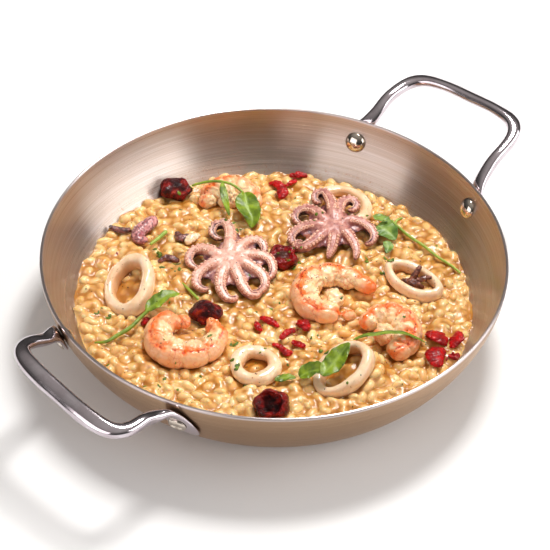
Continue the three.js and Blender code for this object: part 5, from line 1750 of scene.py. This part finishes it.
# ---- herbs
@dataclass
class Leaf:
    """A thin wavy leaf along its midrib."""

    rib: Route
    half: float
    fold: float = 0.25
    turn: float = 0.0
    wave: float = 0.12
    thickness: float = 0.55
    steps: int = 48
    lanes: int = 18

    def skin(self) -> Skin:
        """Both faces of the leaf, joined round the edge."""
        line = curve_through(over(self.rib), self.steps)
        share = np.linspace(0.0, 1.0, self.steps + 1)
        side, rise = cross_frames(line, self.turn)
        reach = self.half * np.maximum(0.06, np.sin(np.pi * (0.03 + 0.95 * share) ** 0.85)) ** 0.75
        reach = reach * (1 + 0.02 * np.sin(31 * share))
        across = np.linspace(-1.0, 1.0, self.lanes + 1)
        lift = (
            np.abs(across)[None, :] * reach[:, None] * self.fold
            + self.wave * reach[:, None] * across * np.sin(9 * share[:, None] + 2 * across)
            + 0.05 * reach[:, None] * np.abs(across) * np.sin(26 * share[:, None] + 3 * across)
        )
        vein = np.abs(np.sin((share[:, None] * 7 - np.abs(across) * 1.1) * math.pi))
        vein_mark = clamp(1 - vein / 0.22) * 0.3 * np.clip(1 - np.abs(across), 0.2, 1.0)
        mark = np.maximum(np.exp(-((across / 0.13) ** 2))[None, :] * (1 - 0.4 * share[:, None]), vein_mark)
        edge = np.sqrt(np.clip(1 - across**2, 0.08, 1.0))
        middle = line[:, None, :] + side[:, None, :] * (across * reach[:, None])[:, :, None]
        middle = middle + rise[:, None, :] * (lift - 0.12 * mark)[:, :, None]
        half = rise[:, None, :] * (self.thickness / 2 * edge)[None, :, None]
        top, bottom = (middle + half).reshape(-1, 3), (middle - half).reshape(-1, 3)
        row, under = self.lanes + 1, (self.steps + 1) * (self.lanes + 1)
        faces: list[tuple[int, ...]] = []
        for k in range(self.steps):
            for i in range(self.lanes):
                a, b, c, d = k * row + i, k * row + i + 1, (k + 1) * row + i + 1, (k + 1) * row + i
                faces.append((a, b, c, d))
                faces.append((under + d, under + c, under + b, under + a))
        border = [
            *range(self.lanes), *(k * row + self.lanes for k in range(self.steps)),
            *(self.steps * row + i for i in range(self.lanes, 0, -1)),
            *(k * row for k in range(self.steps, 0, -1)),
        ]
        for a, b in zip(border, border[1:] + border[:1]):
            faces.append((a, under + a, under + b, b))
        marks = {Layer.RIDGE: np.tile(mark.ravel(), 2)}
        return Skin(np.vstack([top, bottom]), faces, marks)


def stalk(route: Route, wide: Sequence[float], steps: int = 60) -> Skin:
    """A thin stem along a route."""
    skin = tube(route, wide, sides=12, steps=steps)
    skin.marks = {Layer.RIDGE: np.full(len(skin.points), 0.45)}
    return skin


def herb_skins() -> dict[str, list[Skin]]:
    """Every leaf and sprig, each with the parts that grow together."""
    return {
        "sprig_back": [
            stalk(
                (
                    (-50, 85.5, 9.6), (-46, 86, 11), (-39, 87, 12.2), (-32, 86.5, 12.6), (-25.5, 84.5, 12),
                    (-19, 80, 9.8),
                ),
                (0.7, 0.8, 0.9, 0.8, 0.7),
            ),
            Leaf(((-32, 86, 12.6), (-30.5, 76, 11.5), (-27, 64.5, 5)), 2.2, 0.1).skin(),
            Leaf(((-18.5, 80.5, 9.6), (-16.5, 69.5, 8), (-13.5, 61.5, 5.5), (-14, 57, 3)), 7, 0.35).skin(),
        ],
        "leaf_right_upper": [
            Leaf(((57.5, 67, 6.2), (62.5, 63.2, 6.6), (68.5, 60.8, 5)), 4.4, turn=0.25).skin(),
        ],
        "leaf_right_middle": [Leaf(((59.5, 58.5, 5.8), (65.5, 54, 5.6), (70, 49, 3.6)), 6, turn=-0.2).skin()],
        "leaf_right_lower": [Leaf(((63.5, 47.5, 3.4), (65.8, 43.5, 2.8), (64.5, 39, 2)), 3).skin()],
        "sprig_right": [
            stalk(
                (
                    (67.5, 66, 4.2), (71.5, 60.5, 3.8), (78.5, 52.5, 3.2), (86.5, 45, 2.8), (94, 36.5, 2.4),
                    (102, 29, 2.2), (107, 23, 2),
                ),
                (0.9, 0.9, 0.8, 0.7),
            ),
            stalk(((69.5, 62.5, 3.8), (71.5, 66, 4.2), (74.5, 68, 4.2)), (0.8, 0.8, 0.7)),
        ],
        "sprig_left": [
            stalk(
                (
                    (-98, -41.5, 1.5), (-91.5, -41.5, 2.4), (-85, -36.5, 3.2), (-78.5, -31.5, 4.4),
                    (-73, -24.5, 6), (-69, -20.5, 7.6),
                ),
                (0.6, 1.0, 1.2, 1.1, 1),
            ),
            Leaf(
                ((-70, -21.5, 7.4), (-64, -15, 9.6), (-58.5, -11, 10.2), (-52.5, -8.5, 9.6)), 5, turn=0.1
            ).skin(),
        ],
        "stem_middle": [stalk(((-52, 9, 1.8), (-46.5, 1, 2.4), (-42, -5.5, 2.6)), (0.6, 0.9, 0.9))],
        "blade_right": [
            Leaf(
                (
                    (44.5, -43.5, 11), (49.5, -42.5, 12.8), (57, -41.5, 14.2), (64.5, -40.5, 14.6),
                    (71.5, -40.5, 14), (78.5, -40.8, 11.4), (85, -41.3, 8),
                ),
                2.3, 0.1, 0.3,
            ).skin()
        ],
        "leaf_front_broad": [
            Leaf(((27.5, -71, 9.8), (33, -64.5, 12), (38.5, -57.5, 15.4), (42, -53.5, 18.2)), 6, 0.2).skin(),
        ],
        "leaf_front_folded": [
            Leaf(((15.5, -67, 4.2), (20, -65, 6), (25.5, -65, 7.8), (30.5, -67.5, 9)), 5, 0.5, -0.2).skin(),
        ],
        "leaf_front_narrow": [Leaf(((2, -68, 2.6), (7.5, -67, 3.6), (13.5, -67.5, 4.4)), 2.8, 0.1).skin()],
        "chive_left": [stalk(((-72, 39.5, 3.2), (-67.5, 44.3, 3.8), (-63, 51.5, 3.4)), (0.9, 1.1, 1.3))],
    }


@dataclass
class Toppings:
    """Everything that lies on the rice."""

    kitchen: Kitchen
    finishes: Finishes
    scatter: Scatter

    def build(self) -> None:
        """Makes the toppings from the large ones to the small."""
        squid, prawn = self.finishes.squid_flesh(), self.finishes.prawn_flesh()
        roast = self.finishes.roast_tomato()
        dried = self.finishes.dried_tomato("dried tomato", srgb(132, 4, 8), srgb(208, 14, 18))
        folded = self.finishes.dried_tomato("folded dried tomato", srgb(82, 4, 8), srgb(160, 12, 16))
        dark = self.finishes.dark_tentacle("dark tentacle flesh", srgb(58, 22, 24), srgb(150, 84, 76))
        brown = self.finishes.dark_tentacle("brown tentacle flesh", srgb(84, 38, 34), srgb(168, 100, 70))
        pink = self.finishes.pink_curl()
        fresh = self.finishes.leaf("fresh leaf", srgb(72, 98, 0), srgb(142, 166, 8))
        grey = self.finishes.leaf("cooler leaf", srgb(72, 110, 30), srgb(136, 164, 64))
        stem = self.finishes.leaf("green stem", srgb(122, 150, 30), srgb(172, 188, 66))
        for octopus in OCTOPUSES:
            octopus.build(self.kitchen, self.finishes, self.scatter)
        for ring in SQUID_RINGS:
            ring.build(self.kitchen, squid)
        for shrimp in PRAWNS:
            shrimp.build(self.kitchen, prawn)
        for tomato in ROAST_TOMATOES:
            tomato.build(self.kitchen, roast)
        CUP.build(self.kitchen, folded)
        for strip in DRIED_TOMATO_STRIPS:
            self.strip(strip, dried, "dried_tomato", 0.45 if max(strip.wide) > 4.0 else 0.55)
        for strip in TENTACLES:
            self.strip(strip, dark, "tentacle", 0.4)
        self.strip(PINK_CURL, pink, "tentacle", 0.5)
        self.strip(PALE_SCRAP, squid, "squid", 0.4)
        bunch = together([strip.skin(0.4) for strip in TENTACLE_BUNCH])
        self.kitchen.serve("tentacle_bunch_flesh", bunch, brown, "tentacle", ["tentacle_bunch"])
        cool = {"leaf_right_upper", "leaf_right_middle", "leaf_right_lower"}
        stems = {"sprig_right", "stem_middle", "chive_left"}
        for node, skins in herb_skins().items():
            finish = grey if node in cool else stem if node in stems else fresh
            self.kitchen.serve(f"{node}_green", together(skins), finish, "herb", [node])

    def strip(self, strip: Strip, finish: Material, slot: str, wrinkle: float) -> None:
        """Makes one strip."""
        self.kitchen.serve(f"{strip.node}_piece", strip.skin(wrinkle), finish, slot, [strip.node])


# ---- rice
SAUCE_CELLS = 298
SAUCE_GAP = 2.6
LOW_CEILING = 17.2
UNDER_TOPPING = 50.0
MOST_MISSES = 9000
SAUCE_POOLS = (
    (-8.8, -56.8, 9.0, 2.0), (-81.0, 1.5, 9.0, 1.6), (79.4, 15.2, 9.0, 1.0), (39.3, -61.5, 8.0, 1.4),
    (-22.0, -42.0, 9.0, 1.0), (-46.0, -38.0, 8.0, 1.2), (14.0, 20.0, 9.0, 1.1), (-12.0, -10.0, 10.0, 0.9),
    (58.0, -58.0, 9.0, 1.0), (52.0, 16.0, 8.0, 0.9), (-70.0, -55.0, 9.0, 0.9), (84.0, 62.0, 10.0, 0.9),
    (-26.0, 0.0, 14.0, 1.0), (33.0, 36.0, 12.0, 1.0), (-36.0, 51.0, 6.0, 1.1), (-14.0, -76.0, 7.0, 0.8),
)


def pools(u: Array, v: Array) -> Iterator[tuple[Array, float]]:
    """Each sauce pool's nearness to every place of the plan, with the pool's strength."""
    for pool_u, pool_v, wide, much in SAUCE_POOLS:
        yield np.exp(-(((u - pool_u) ** 2 + (v - pool_v) ** 2) / wide**2) ** 2), much


def softened(field_map: Array, width: float) -> Array:
    """Blurs a height map by a width in cells, with its edges carried outwards."""
    reach = max(1, int(3 * width))
    kernel = np.exp(-0.5 * (np.arange(-reach, reach + 1) / width) ** 2)
    kernel /= kernel.sum()
    for axis in (0, 1):
        pad = [(reach, reach) if i == axis else (0, 0) for i in range(2)]
        wide = np.pad(field_map, pad, mode="edge")
        field_map = np.apply_along_axis(lambda row: np.convolve(row, kernel, mode="valid"), axis, wide)
    return field_map


@dataclass
class Rice:
    """The heap of grains and the sauce between them, worked out on a map of heights."""

    kitchen: Kitchen
    finishes: Finishes
    scatter: Scatter
    nodes: dict[str, Piece]
    cell: float = 0.55
    reach: float = 114.0
    core: float = 12.9
    grains: int = 3600
    sink: float = 0.75
    axis: Array = field(init=False)
    ceiling: Array = field(init=False)
    heights: Array = field(init=False)
    bed: Array = field(init=False)
    target: Array = field(init=False)

    def build(self) -> None:
        """Lays the grains and pours the sauce."""
        self.axis = np.arange(-self.reach, self.reach + self.cell / 2, self.cell)
        self.ceiling = self.undersides()
        self.bed = self.mounds()
        self.heights = self.bed - (BED_LEVEL - self.core)
        self.target = self.wanted()
        rows = self.heap()
        self.lay_grains(rows)
        self.pour()

    def undersides(self) -> Array:
        """The lowest height of any topping over each cell."""
        skip = {"pan", "risotto", "handle_far", "handle_near"}
        points: list[list[float]] = []
        faces: list[tuple[int, ...]] = []
        for name, node in self.nodes.items():
            if name in skip or name.startswith("rivet"):
                continue
            start = len(points)
            flat = np.empty(len(node.data.vertices) * 3, np.float32)
            node.data.vertices.foreach_get("co", flat)
            points.extend(to_plan(flat.reshape(-1, 3).astype(float) / METRE).tolist())
            faces.extend(tuple(start + i for i in p.vertices) for p in node.data.polygons)
        tree = BVHTree.FromPolygons(points, faces)
        lowest = np.full((len(self.axis), len(self.axis)), 99.0)
        for i, u in enumerate(self.axis.tolist()):
            for j, v in enumerate(self.axis.tolist()):
                hit = tree.ray_cast((u, v, 14.0), (0.0, 0.0, 1.0), 40.0)[0]
                if hit is not None:
                    lowest[i, j] = hit.z
        return lowest

    def mounds(self) -> Array:
        """The bare core's height, raised under the two leaning rings."""
        u, v = np.meshgrid(self.axis, self.axis, indexing="ij")
        height = np.full(u.shape, BED_LEVEL)
        for ring in (SQUID_RINGS[0], SQUID_RINGS[2]):
            du, dv = u - ring.middle[0], v - ring.middle[1]
            det = ring.a[0] * ring.b[1] - ring.a[1] * ring.b[0]
            p = (du * ring.b[1] - dv * ring.b[0]) / det
            q = (dv * ring.a[0] - du * ring.a[1]) / det
            far = np.hypot(p, q)
            beyond = np.maximum(0.0, (far - 1) * math.sqrt(abs(det)))
            shrink = np.where(far > 1, 1 / np.maximum(far, 1e-6), 1.0)
            plane = FOOD_LEVEL + ring.middle[2] + (p * ring.a[2] + q * ring.b[2]) * shrink - ring.band - 0.6
            fade = np.maximum(0.0, 1 - beyond / 9.0)
            height = np.maximum(height, BED_LEVEL + (plane - BED_LEVEL) * fade)
        return height

    def wanted(self) -> Array:
        """How high the heap should stand at each cell."""
        u, v = np.meshgrid(self.axis, self.axis, indexing="ij")
        places = np.stack([u.ravel(), v.ravel(), np.zeros(u.size)], axis=1)
        broad = ripple(places, 34.0, 2.0, 2).reshape(u.shape)
        small = ripple(places, 11.0, 5.0, 2).reshape(u.shape)
        far = np.hypot(u, v)
        shore = clamp((far - 101.0) / 10.0) * (0.9 + 1.4 * small)
        for near, much in pools(u, v):
            shore = shore + 1.7 * near * max(0.0, much - 1.0)
        return self.bed + 1.15 + 0.75 * broad + 0.45 * small - shore

    def excess(self, i: int, j: int) -> float:
        """How far the heap stands over its wanted height near a cell, and far more under a low topping."""
        near = (slice(i - 4, i + 5, 2), slice(j - 4, j + 5, 2))
        covered = UNDER_TOPPING if self.ceiling[i, j] < LOW_CEILING else 0.0
        return (self.heights[near] - self.target[near]).mean() + covered

    def heap(self) -> Array:
        """Stacks the grains one by one.

        Returns:
            Rows of u, v, height, roll, tilt, yaw, and three half sizes.
        """
        random = np.random.default_rng(71)
        rows: list[list[float]] = []
        window = 10
        last = len(self.axis) - 1
        grid = np.arange(-window, window + 1) * self.cell
        x, y = np.meshgrid(grid, grid, indexing="ij")
        misses = 0
        while len(rows) < self.grains and misses < MOST_MISSES:
            radius = FOOD_RADIUS * np.sqrt(random.random(10))
            angle = random.random(10) * 2 * math.pi
            us, vs = radius * np.cos(angle), radius * np.sin(angle)
            ii = np.clip(np.round((us + self.reach) / self.cell).astype(int), window, last - window)
            jj = np.clip(np.round((vs + self.reach) / self.cell).astype(int), window, last - window)
            excess = [self.excess(i, j) for i, j in zip(ii, jj)]
            best = int(np.argmin(excess))
            i, j = ii[best], jj[best]
            if excess[best] > 0.5:
                misses += 1
                continue
            yaw = random.random() * math.pi
            long = random.uniform(3.3, 4.6)
            wide = random.uniform(2.4, 3.0)
            thick = wide * random.uniform(0.85, 0.98)
            place = (slice(i - window, i + window + 1), slice(j - window, j + window + 1))
            under = self.heights[place]
            along = x * math.cos(yaw) + y * math.sin(yaw)
            across = -x * math.sin(yaw) + y * math.cos(yaw)
            reach2 = (along / long) ** 2 + (across / wide) ** 2
            inside = reach2 < 0.9
            front = under[inside & (along > long * 0.35)].mean()
            back = under[inside & (along < -long * 0.35)].mean()
            tilt = math.atan2(front - back, long * 1.3) * 0.85 + random.normal(0.0, 0.1)
            tilt = min(max(tilt, -0.7), 0.7)
            half = thick * np.sqrt(clamp(1 - reach2))
            if np.hypot(us[best] + x, vs[best] + y)[reach2 < 1.0].max() > FOOD_RADIUS + 0.4:
                misses += 1
                continue
            slope = along * math.tan(tilt)
            centre = np.percentile((under - slope + half)[inside], 90) - self.sink
            top = centre + slope + half
            if np.any((top > self.ceiling[place] - 0.15) & (reach2 < 1.0)):
                misses += 1
                continue
            if centre + thick > self.target[i, j] + 2.6:
                misses += 1
                continue
            self.heights[place] = np.where(reach2 < 1.0, np.maximum(under, top), under)
            u, v = self.axis[i], self.axis[j]
            rows.append([u, v, centre, random.normal(0.0, 0.25), -tilt, yaw, long, wide, thick])
        log.info("heap: %d grains, %d misses", len(rows), misses)
        return np.array(rows)

    @staticmethod
    def grain(bend: float, blunt: float) -> Skin:
        """One plump grain of unit half sizes, slightly bent, with one end blunter."""
        share = np.array([-0.95, -0.76, -0.4, 0.0, 0.4, 0.76, 0.95])
        angle = np.linspace(0.0, 2 * math.pi, 8, endpoint=False)
        round_off = np.sqrt(1 - np.abs(share) ** 2.7) * (1 + blunt * share)
        rings = np.stack(
            [
                np.repeat(share[:, None], 8, axis=1) + 0.0 * angle,
                round_off[:, None] * np.cos(angle) + bend * (1 - share[:, None] ** 2),
                round_off[:, None] * np.sin(angle),
            ],
            axis=2,
        )
        skin = ring_skin(rings)
        skin.points[-2] = [-1.0, 0.0, 0.0]
        skin.points[-1] = [1.0, 0.0, 0.0]
        return skin

    def lay_grains(self, rows: Array) -> None:
        """Puts the grains down in three kinds."""
        finish = self.finishes.rice_grain()
        points = from_plan(rows[:, :3])
        turns = rows[:, 3:6] + np.array([0.0, 0.0, PLAN_TURN])
        random = np.random.default_rng(5)
        tints = clamp(random.normal(0.62, 0.24, len(rows)))
        kinds = (("plump", 0.0, 0.06), ("bent", 0.16, 0.1), ("tapered", -0.1, 0.2))
        for index, (label, bend, blunt) in enumerate(kinds):
            chosen = np.arange(len(rows)) % len(kinds) == index
            self.scatter.lay(
                f"rice_{label}_grains", self.grain(bend, blunt), finish, "rice", points[chosen],
                turns[chosen], rows[chosen, 6:9], {Layer.TINT: tints[chosen]},
            )

    def sample(self, chart: Array, u: Array, v: Array) -> Array:
        """Reads a map between its cells."""
        i = np.clip((u + self.reach) / self.cell, 0, len(self.axis) - 1.001)
        j = np.clip((v + self.reach) / self.cell, 0, len(self.axis) - 1.001)
        i0, j0 = i.astype(int), j.astype(int)
        a, b = i - i0, j - j0
        low = chart[i0, j0] * (1 - a) + chart[i0 + 1, j0] * a
        high = chart[i0, j0 + 1] * (1 - a) + chart[i0 + 1, j0 + 1] * a
        return low * (1 - b) + high * b

    def surface(self) -> tuple[Array, Array]:
        """The sauce's height over each cell, and how far it lies on a grain's crown."""
        close, broad = softened(self.heights, 2.2), softened(self.heights, 6.0)
        u, v = np.meshgrid(self.axis, self.axis, indexing="ij")
        flat = np.stack([u.ravel(), v.ravel(), np.zeros(u.size)], axis=1)
        coat = clamp(0.5 + 1.5 * ripple(flat, 15.0, 12.0, 3).reshape(u.shape))
        for near, much in pools(u, v):
            coat = coat + near * (min(much, 1.5) - coat)
        level = 0.5 * close + 0.5 * broad - 0.1 + 1.5 * coat
        film = softened(self.heights, 1.1) - 0.05
        level = level + (0.55 + 0.3 * coat) * np.maximum(film - level, 0.0)
        crown = clamp(1.1 - (level - softened(self.heights, 0.8)) / 1.5)
        blocked = softened((self.ceiling < 17.5).astype(float), 1.4)
        return level + 0.7 * blocked * (1 - blocked) * 4 * 0.5, crown

    def pour(self) -> None:
        """Makes the sauce with the rice's core as one closed piece under the grains."""
        level, crown = self.surface()
        count = SAUCE_CELLS
        side = np.linspace(-1.0, 1.0, count + 1)
        p, q = np.meshgrid(side, side, indexing="ij")
        x = p * np.sqrt(1 - q**2 / 2) * FOOD_RADIUS * 1.012
        y = q * np.sqrt(1 - p**2 / 2) * FOOD_RADIUS * 1.012
        z = self.sample(level, x, y)
        crowns = self.sample(crown, x, y)
        far = np.hypot(x, y)
        places = np.stack([x.ravel(), y.ravel(), np.zeros(x.size)], axis=1)
        lap = ripple(places, 9.0, 8.0, 2).reshape(x.shape)
        z = z + clamp((far - 108.5) / 5.5) ** 2 * (1.5 + 1.0 * lap)
        points = np.stack([x, y, z], axis=2)
        radius, _ = side_curve(np.linspace(0.0, 1.0, 400))
        border = [
            *[(i, 0) for i in range(count)], *[(count, j) for j in range(count)],
            *[(i, count) for i in range(count, 0, -1)], *[(0, j) for j in range(count, 0, -1)],
        ]
        rim_i, rim_j = np.array(border).T
        edge = points[rim_i, rim_j]
        wall = np.interp(edge[:, 2], radius[:, 1], radius[:, 0]) - 1.35
        points[rim_i, rim_j, :2] = unit(edge[:, :2]) * wall[:, None]
        edge = points[rim_i, rim_j]
        row = count + 1
        faces = [
            (i * row + j, (i + 1) * row + j, (i + 1) * row + j + 1, i * row + j + 1)
            for i in range(count) for j in range(count)
        ]
        all_points = [points.reshape(-1, 3)]
        before = [int(i * row + j) for i, j in border]
        total = row * row
        for share in (0.8, 0.6, 0.4, 0.2, 0.0):
            height = SAUCE_GAP + (edge[:, 2] - SAUCE_GAP) * share
            inner = np.interp(height, radius[:, 1], radius[:, 0]) - SAUCE_GAP
            ring = np.column_stack([unit(edge[:, :2]) * inner[:, None], height])
            all_points.append(ring)
            now = [total + n for n in range(len(border))]
            for n in range(len(border)):
                m = (n + 1) % len(border)
                faces.append((before[m], before[n], now[n], now[m]))
            before, total = now, total + len(border)
        all_points.append(np.array([[0.0, 0.0, SAUCE_GAP]]))
        faces.extend((before[(n + 1) % len(border)], before[n], total) for n in range(len(border)))
        skin = Skin(np.vstack(all_points), faces)
        skin.marks[Layer.RIDGE] = np.append(crowns.ravel(), np.zeros(len(skin.points) - crowns.size))
        self.kitchen.serve("risotto_sauce", skin, self.finishes.sauce(), "rice", ["risotto"])


# ---- small things on top
def crumb(flat: float, rough: float, seed: float) -> Skin:
    """A small ragged bit about the origin, of half size one and thinner upwards."""
    made = icosphere(2)
    points = made.points * (1 + rough * ripple(made.points * 3, 1.7, seed, 2))[:, None]
    points[:, 2] = points[:, 2] * flat + 0.25 * points[:, 0] ** 2 - 0.1
    return Skin(points, made.faces)


@dataclass
class Sprinkling:
    """Herb bits, pepper and tomato crumbs that lie on whatever is below them."""

    kitchen: Kitchen
    finishes: Finishes
    scatter: Scatter
    random: np.random.Generator = field(init=False)
    graph: bpy.types.Depsgraph = field(init=False)
    food: set[str] = field(init=False)

    def build(self) -> None:
        """Drops all the small things."""
        self.random = np.random.default_rng(404)
        self.graph = bpy.context.evaluated_depsgraph_get()
        hard = ("pan_", "handle_", "rivet_")
        self.food = {name for name in self.kitchen.made if not name.startswith(hard)}
        green = self.finishes.plain("parsley bits", srgb(58, 82, 6), srgb(116, 142, 24), 0.5)
        pepper = self.finishes.plain("pepper", srgb(34, 20, 12), srgb(92, 58, 34), 0.6)
        red = self.finishes.plain("tomato crumbs", srgb(126, 6, 10), srgb(190, 20, 18), 0.3)
        parsley = self.around(PARSLEY_SPOTS) + self.anywhere(40)
        self.sprinkle("parsley_bits", crumb(0.22, 0.5, 1.0), green, "herb", parsley, (0.6, 1.6), 0.5)
        specks = self.around(PEPPER_SPOTS) + self.anywhere(230)
        self.sprinkle("pepper_specks", crumb(0.7, 0.3, 2.0), pepper, "herb", specks, (0.2, 0.46), 0.5)
        crumbs = self.around(CRUMB_SPOTS)
        self.sprinkle("tomato_crumbs", crumb(0.5, 0.5, 3.0), red, "dried_tomato", crumbs, (0.5, 1.1), 0.7)

    def around(self, spots: Sequence[tuple[float, float, float, int]]) -> list[tuple[float, float]]:
        """Places near each spot, which is given as u, v, spread and count."""
        return [
            (self.random.normal(u, spread_by), self.random.normal(v, spread_by))
            for u, v, spread_by, count in spots for _ in range(count)
        ]

    def anywhere(self, count: int) -> list[tuple[float, float]]:
        """Places all over the food."""
        radius = (FOOD_RADIUS - 6.0) * np.sqrt(self.random.random(count))
        angle = self.random.random(count) * 2 * math.pi
        return list(zip((radius * np.cos(angle)).tolist(), (radius * np.sin(angle)).tolist()))

    def landing(self, u: float, v: float) -> tuple[Vector, Vector] | None:
        """Where something dropped at a place of the plan comes to rest, with the surface's normal."""
        start = Vector(from_plan(np.array([[u, v, 90.0]]))[0] * METRE)
        scene, down = bpy.context.scene, Vector((0.0, 0.0, -1.0))
        for _ in range(30):
            hit, place, normal, _, piece, _ = scene.ray_cast(self.graph, start, down)
            if not hit:
                return None
            if piece.name in self.food:
                return place, normal
            start = place - Vector((0.0, 0.0, 0.00005))
        return None

    def sprinkle(
        self, name: str, shape: Skin, finish: Material, slot: str, places: list[tuple[float, float]],
        sizes: tuple[float, float], sunk: float,
    ) -> None:
        """Lays one kind of small thing, each sunk a little into what it lies on."""
        points, turns, scales = [], [], []
        for u, v in places:
            found = self.landing(u, v)
            if found is None or found[1].z < 0.25:
                continue
            place, normal = found
            size = self.random.uniform(*sizes)
            spin = Matrix.Rotation(self.random.uniform(0, 6.28), 3, "Z")
            turn = normal.to_track_quat("Z", "Y").to_matrix() @ spin
            points.append(np.array(place) / METRE + np.array(normal) * size * 0.2 * (1 - sunk))
            turns.append(turn.to_euler()[:])
            scales.append([size * self.random.uniform(0.8, 1.3), size * self.random.uniform(0.45, 0.9), size])
        self.scatter.lay(name, shape, finish, slot, np.array(points), np.array(turns), np.array(scales))


PARSLEY_SPOTS = (
    (-66.5, 33.0, 1.6, 9), (-64.0, 20.5, 1.2, 3), (-56.5, 25.0, 2.2, 7), (-97.5, -17.5, 2.4, 5),
    (12.0, 28.0, 4.5, 12), (-26.0, 56.0, 5.0, 5), (24.0, 57.5, 3.0, 3), (64.5, 27.0, 2.0, 5),
    (-20.0, -38.5, 2.5, 5), (5.5, -31.5, 2.0, 3), (27.0, -50.0, 3.0, 4), (-60.5, -68.0, 5.0, 5),
    (-8.0, -55.0, 9.0, 6), (57.0, 34.0, 3.0, 3), (-97.0, -56.0, 3.0, 3),
)
PEPPER_SPOTS = (
    (22.0, 2.0, 6.5, 46), (28.0, 11.0, 5.0, 16), (-8.8, -56.8, 11.0, 22), (39.3, -61.5, 10.0, 14),
    (79.0, 15.0, 12.0, 22), (-44.0, -44.0, 10.0, 14), (-81.0, 1.5, 12.0, 10), (33.0, 54.0, 10.0, 12),
    (-26.0, 24.0, 10.0, 10), (65.0, -28.0, 9.0, 12), (4.0, -30.0, 12.0, 14),
)
CRUMB_SPOTS = (
    (-5.0, -24.0, 3.5, 4), (14.0, -24.0, 3.0, 4), (8.0, -30.0, 3.0, 4), (10.0, -42.0, 4.0, 7),
    (97.0, -41.0, 4.0, 5), (2.0, 93.0, 3.5, 5), (-90.0, 34.0, 0.6, 1), (-71.0, -24.0, 1.5, 3),
    (-36.0, -27.0, 2.0, 6),
)


# ---- studio
@dataclass
class Studio:
    """White floor, soft lights and the camera."""

    finishes: Finishes
    elevation: float = math.radians(41.576)
    azimuth: float = math.radians(47.865)
    distance: float = 1.3
    roll: float = math.radians(1.5385)
    focal_pixels: float = 2340.95
    frame_pixels: float = 550.0
    middle: tuple[float, float] = (274.46, 253.165)

    def build(self) -> None:
        """Sets the whole studio up."""
        scene = bpy.context.scene
        scene.view_settings.view_transform = "Standard"
        scene.view_settings.look = "None"
        self.floor()
        self.camera()
        self.world(0.62)
        self.light("key", (0.22, 0.52, 1.15), (0.36, 0.36), 15.6, (1.0, 0.985, 0.965))
        self.light("window", (1.15, -0.22, 0.55), (1.5, 0.8), 11.0, (1.0, 0.985, 0.98))
        self.light("front left", (-0.85, -0.85, 0.5), (1.1, 0.8), 6.0, (1.0, 0.95, 0.95))

    def spot(self, place: Place) -> Vector:
        """A place of the plan, in metres, as a point of the scene."""
        turned = from_plan(np.array([place], float))[0]
        return Vector(turned)

    def floor(self) -> None:
        """The white floor."""
        mesh = bpy.data.meshes.new("studio_floor")
        reach = 6.0
        corners = [(-reach, -reach, 0.0), (reach, -reach, 0.0), (reach, reach, 0.0), (-reach, reach, 0.0)]
        mesh.from_pydata(corners, [], [(0, 1, 2, 3)])
        mesh.materials.append(self.finishes.studio_white())
        link_object("studio_floor", mesh)

    def world(self, strength: float) -> None:
        """Soft light from above that falls away to a dim room at the sides."""
        world = bpy.data.worlds.new("studio")
        world.use_nodes = True
        graph = Graph(world.node_tree)
        split = graph.add("ShaderNodeSeparateXYZ")
        graph.feed(split.inputs[0], graph.add("ShaderNodeTexCoord").outputs["Generated"])
        low = graph.remap(split.outputs[2], 0.0, 0.5, 0.04, 0.18)
        high = graph.remap(split.outputs[2], 0.5, 0.95, 0.0, 0.55)
        back = world.node_tree.nodes["Background"]
        back.inputs["Color"].default_value = (1.0, 0.95, 0.9, 1.0)
        graph.feed(back.inputs["Strength"], graph.math("MULTIPLY", graph.math("ADD", low, high), strength))
        bpy.context.scene.world = world

    def light(
        self, name: str, place: Place, size: tuple[float, float], power: float,
        tone: Colour,
    ) -> None:
        """A soft light, as wide and as high as size says, that looks at the pan."""
        lamp = bpy.data.lights.new(name, "AREA")
        lamp.shape = "RECTANGLE"
        lamp.size, lamp.size_y = size
        lamp.energy = power
        lamp.color = tone
        made = bpy.data.objects.new(name, lamp)
        made.location = self.spot(place)
        made.rotation_euler = (Vector((0.0, 0.0, 0.02)) - made.location).to_track_quat("-Z", "Y").to_euler()
        bpy.context.scene.collection.objects.link(made)

    def camera(self) -> None:
        """The camera at the photograph's angle."""
        lens = bpy.data.cameras.new("camera")
        lens.sensor_width = 36.0
        lens.lens = self.focal_pixels / self.frame_pixels * lens.sensor_width
        lens.shift_x = (self.frame_pixels / 2 - self.middle[0]) / self.frame_pixels
        lens.shift_y = (self.middle[1] - self.frame_pixels / 2) / self.frame_pixels
        lens.clip_start = 0.05
        made = bpy.data.objects.new("camera", lens)
        aim = Vector((0.0, 0.0, 0.05))
        level = math.cos(self.elevation)
        back = Vector((
            -math.sin(self.azimuth) * level, -math.cos(self.azimuth) * level, math.sin(self.elevation),
        ))
        made.location = aim + back * self.distance
        look = (aim - made.location).to_track_quat("-Z", "Y").to_matrix()
        about = look @ Vector((0.0, 0.0, 1.0))
        turn = Matrix.Rotation(self.roll, 3, about)
        made.rotation_euler = (turn @ look).to_euler()
        bpy.context.scene.collection.objects.link(made)
        bpy.context.scene.camera = made


def main() -> None:
    """Builds every piece in order."""
    logging.basicConfig(level=logging.INFO, format="%(message)s")
    kitchen = Kitchen()
    finishes = Finishes(SharedGroups())
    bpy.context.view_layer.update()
    Studio(finishes).build()
    Pan(kitchen, finishes).build()
    scatter = Scatter(kitchen)
    Toppings(kitchen, finishes, scatter).build()
    Rice(kitchen, finishes, scatter, frame["nodes"]).build()
    Sprinkling(kitchen, finishes, scatter).build()
    log.info("%d pieces", len(kitchen.made))


if __name__ == "__main__":
    main()
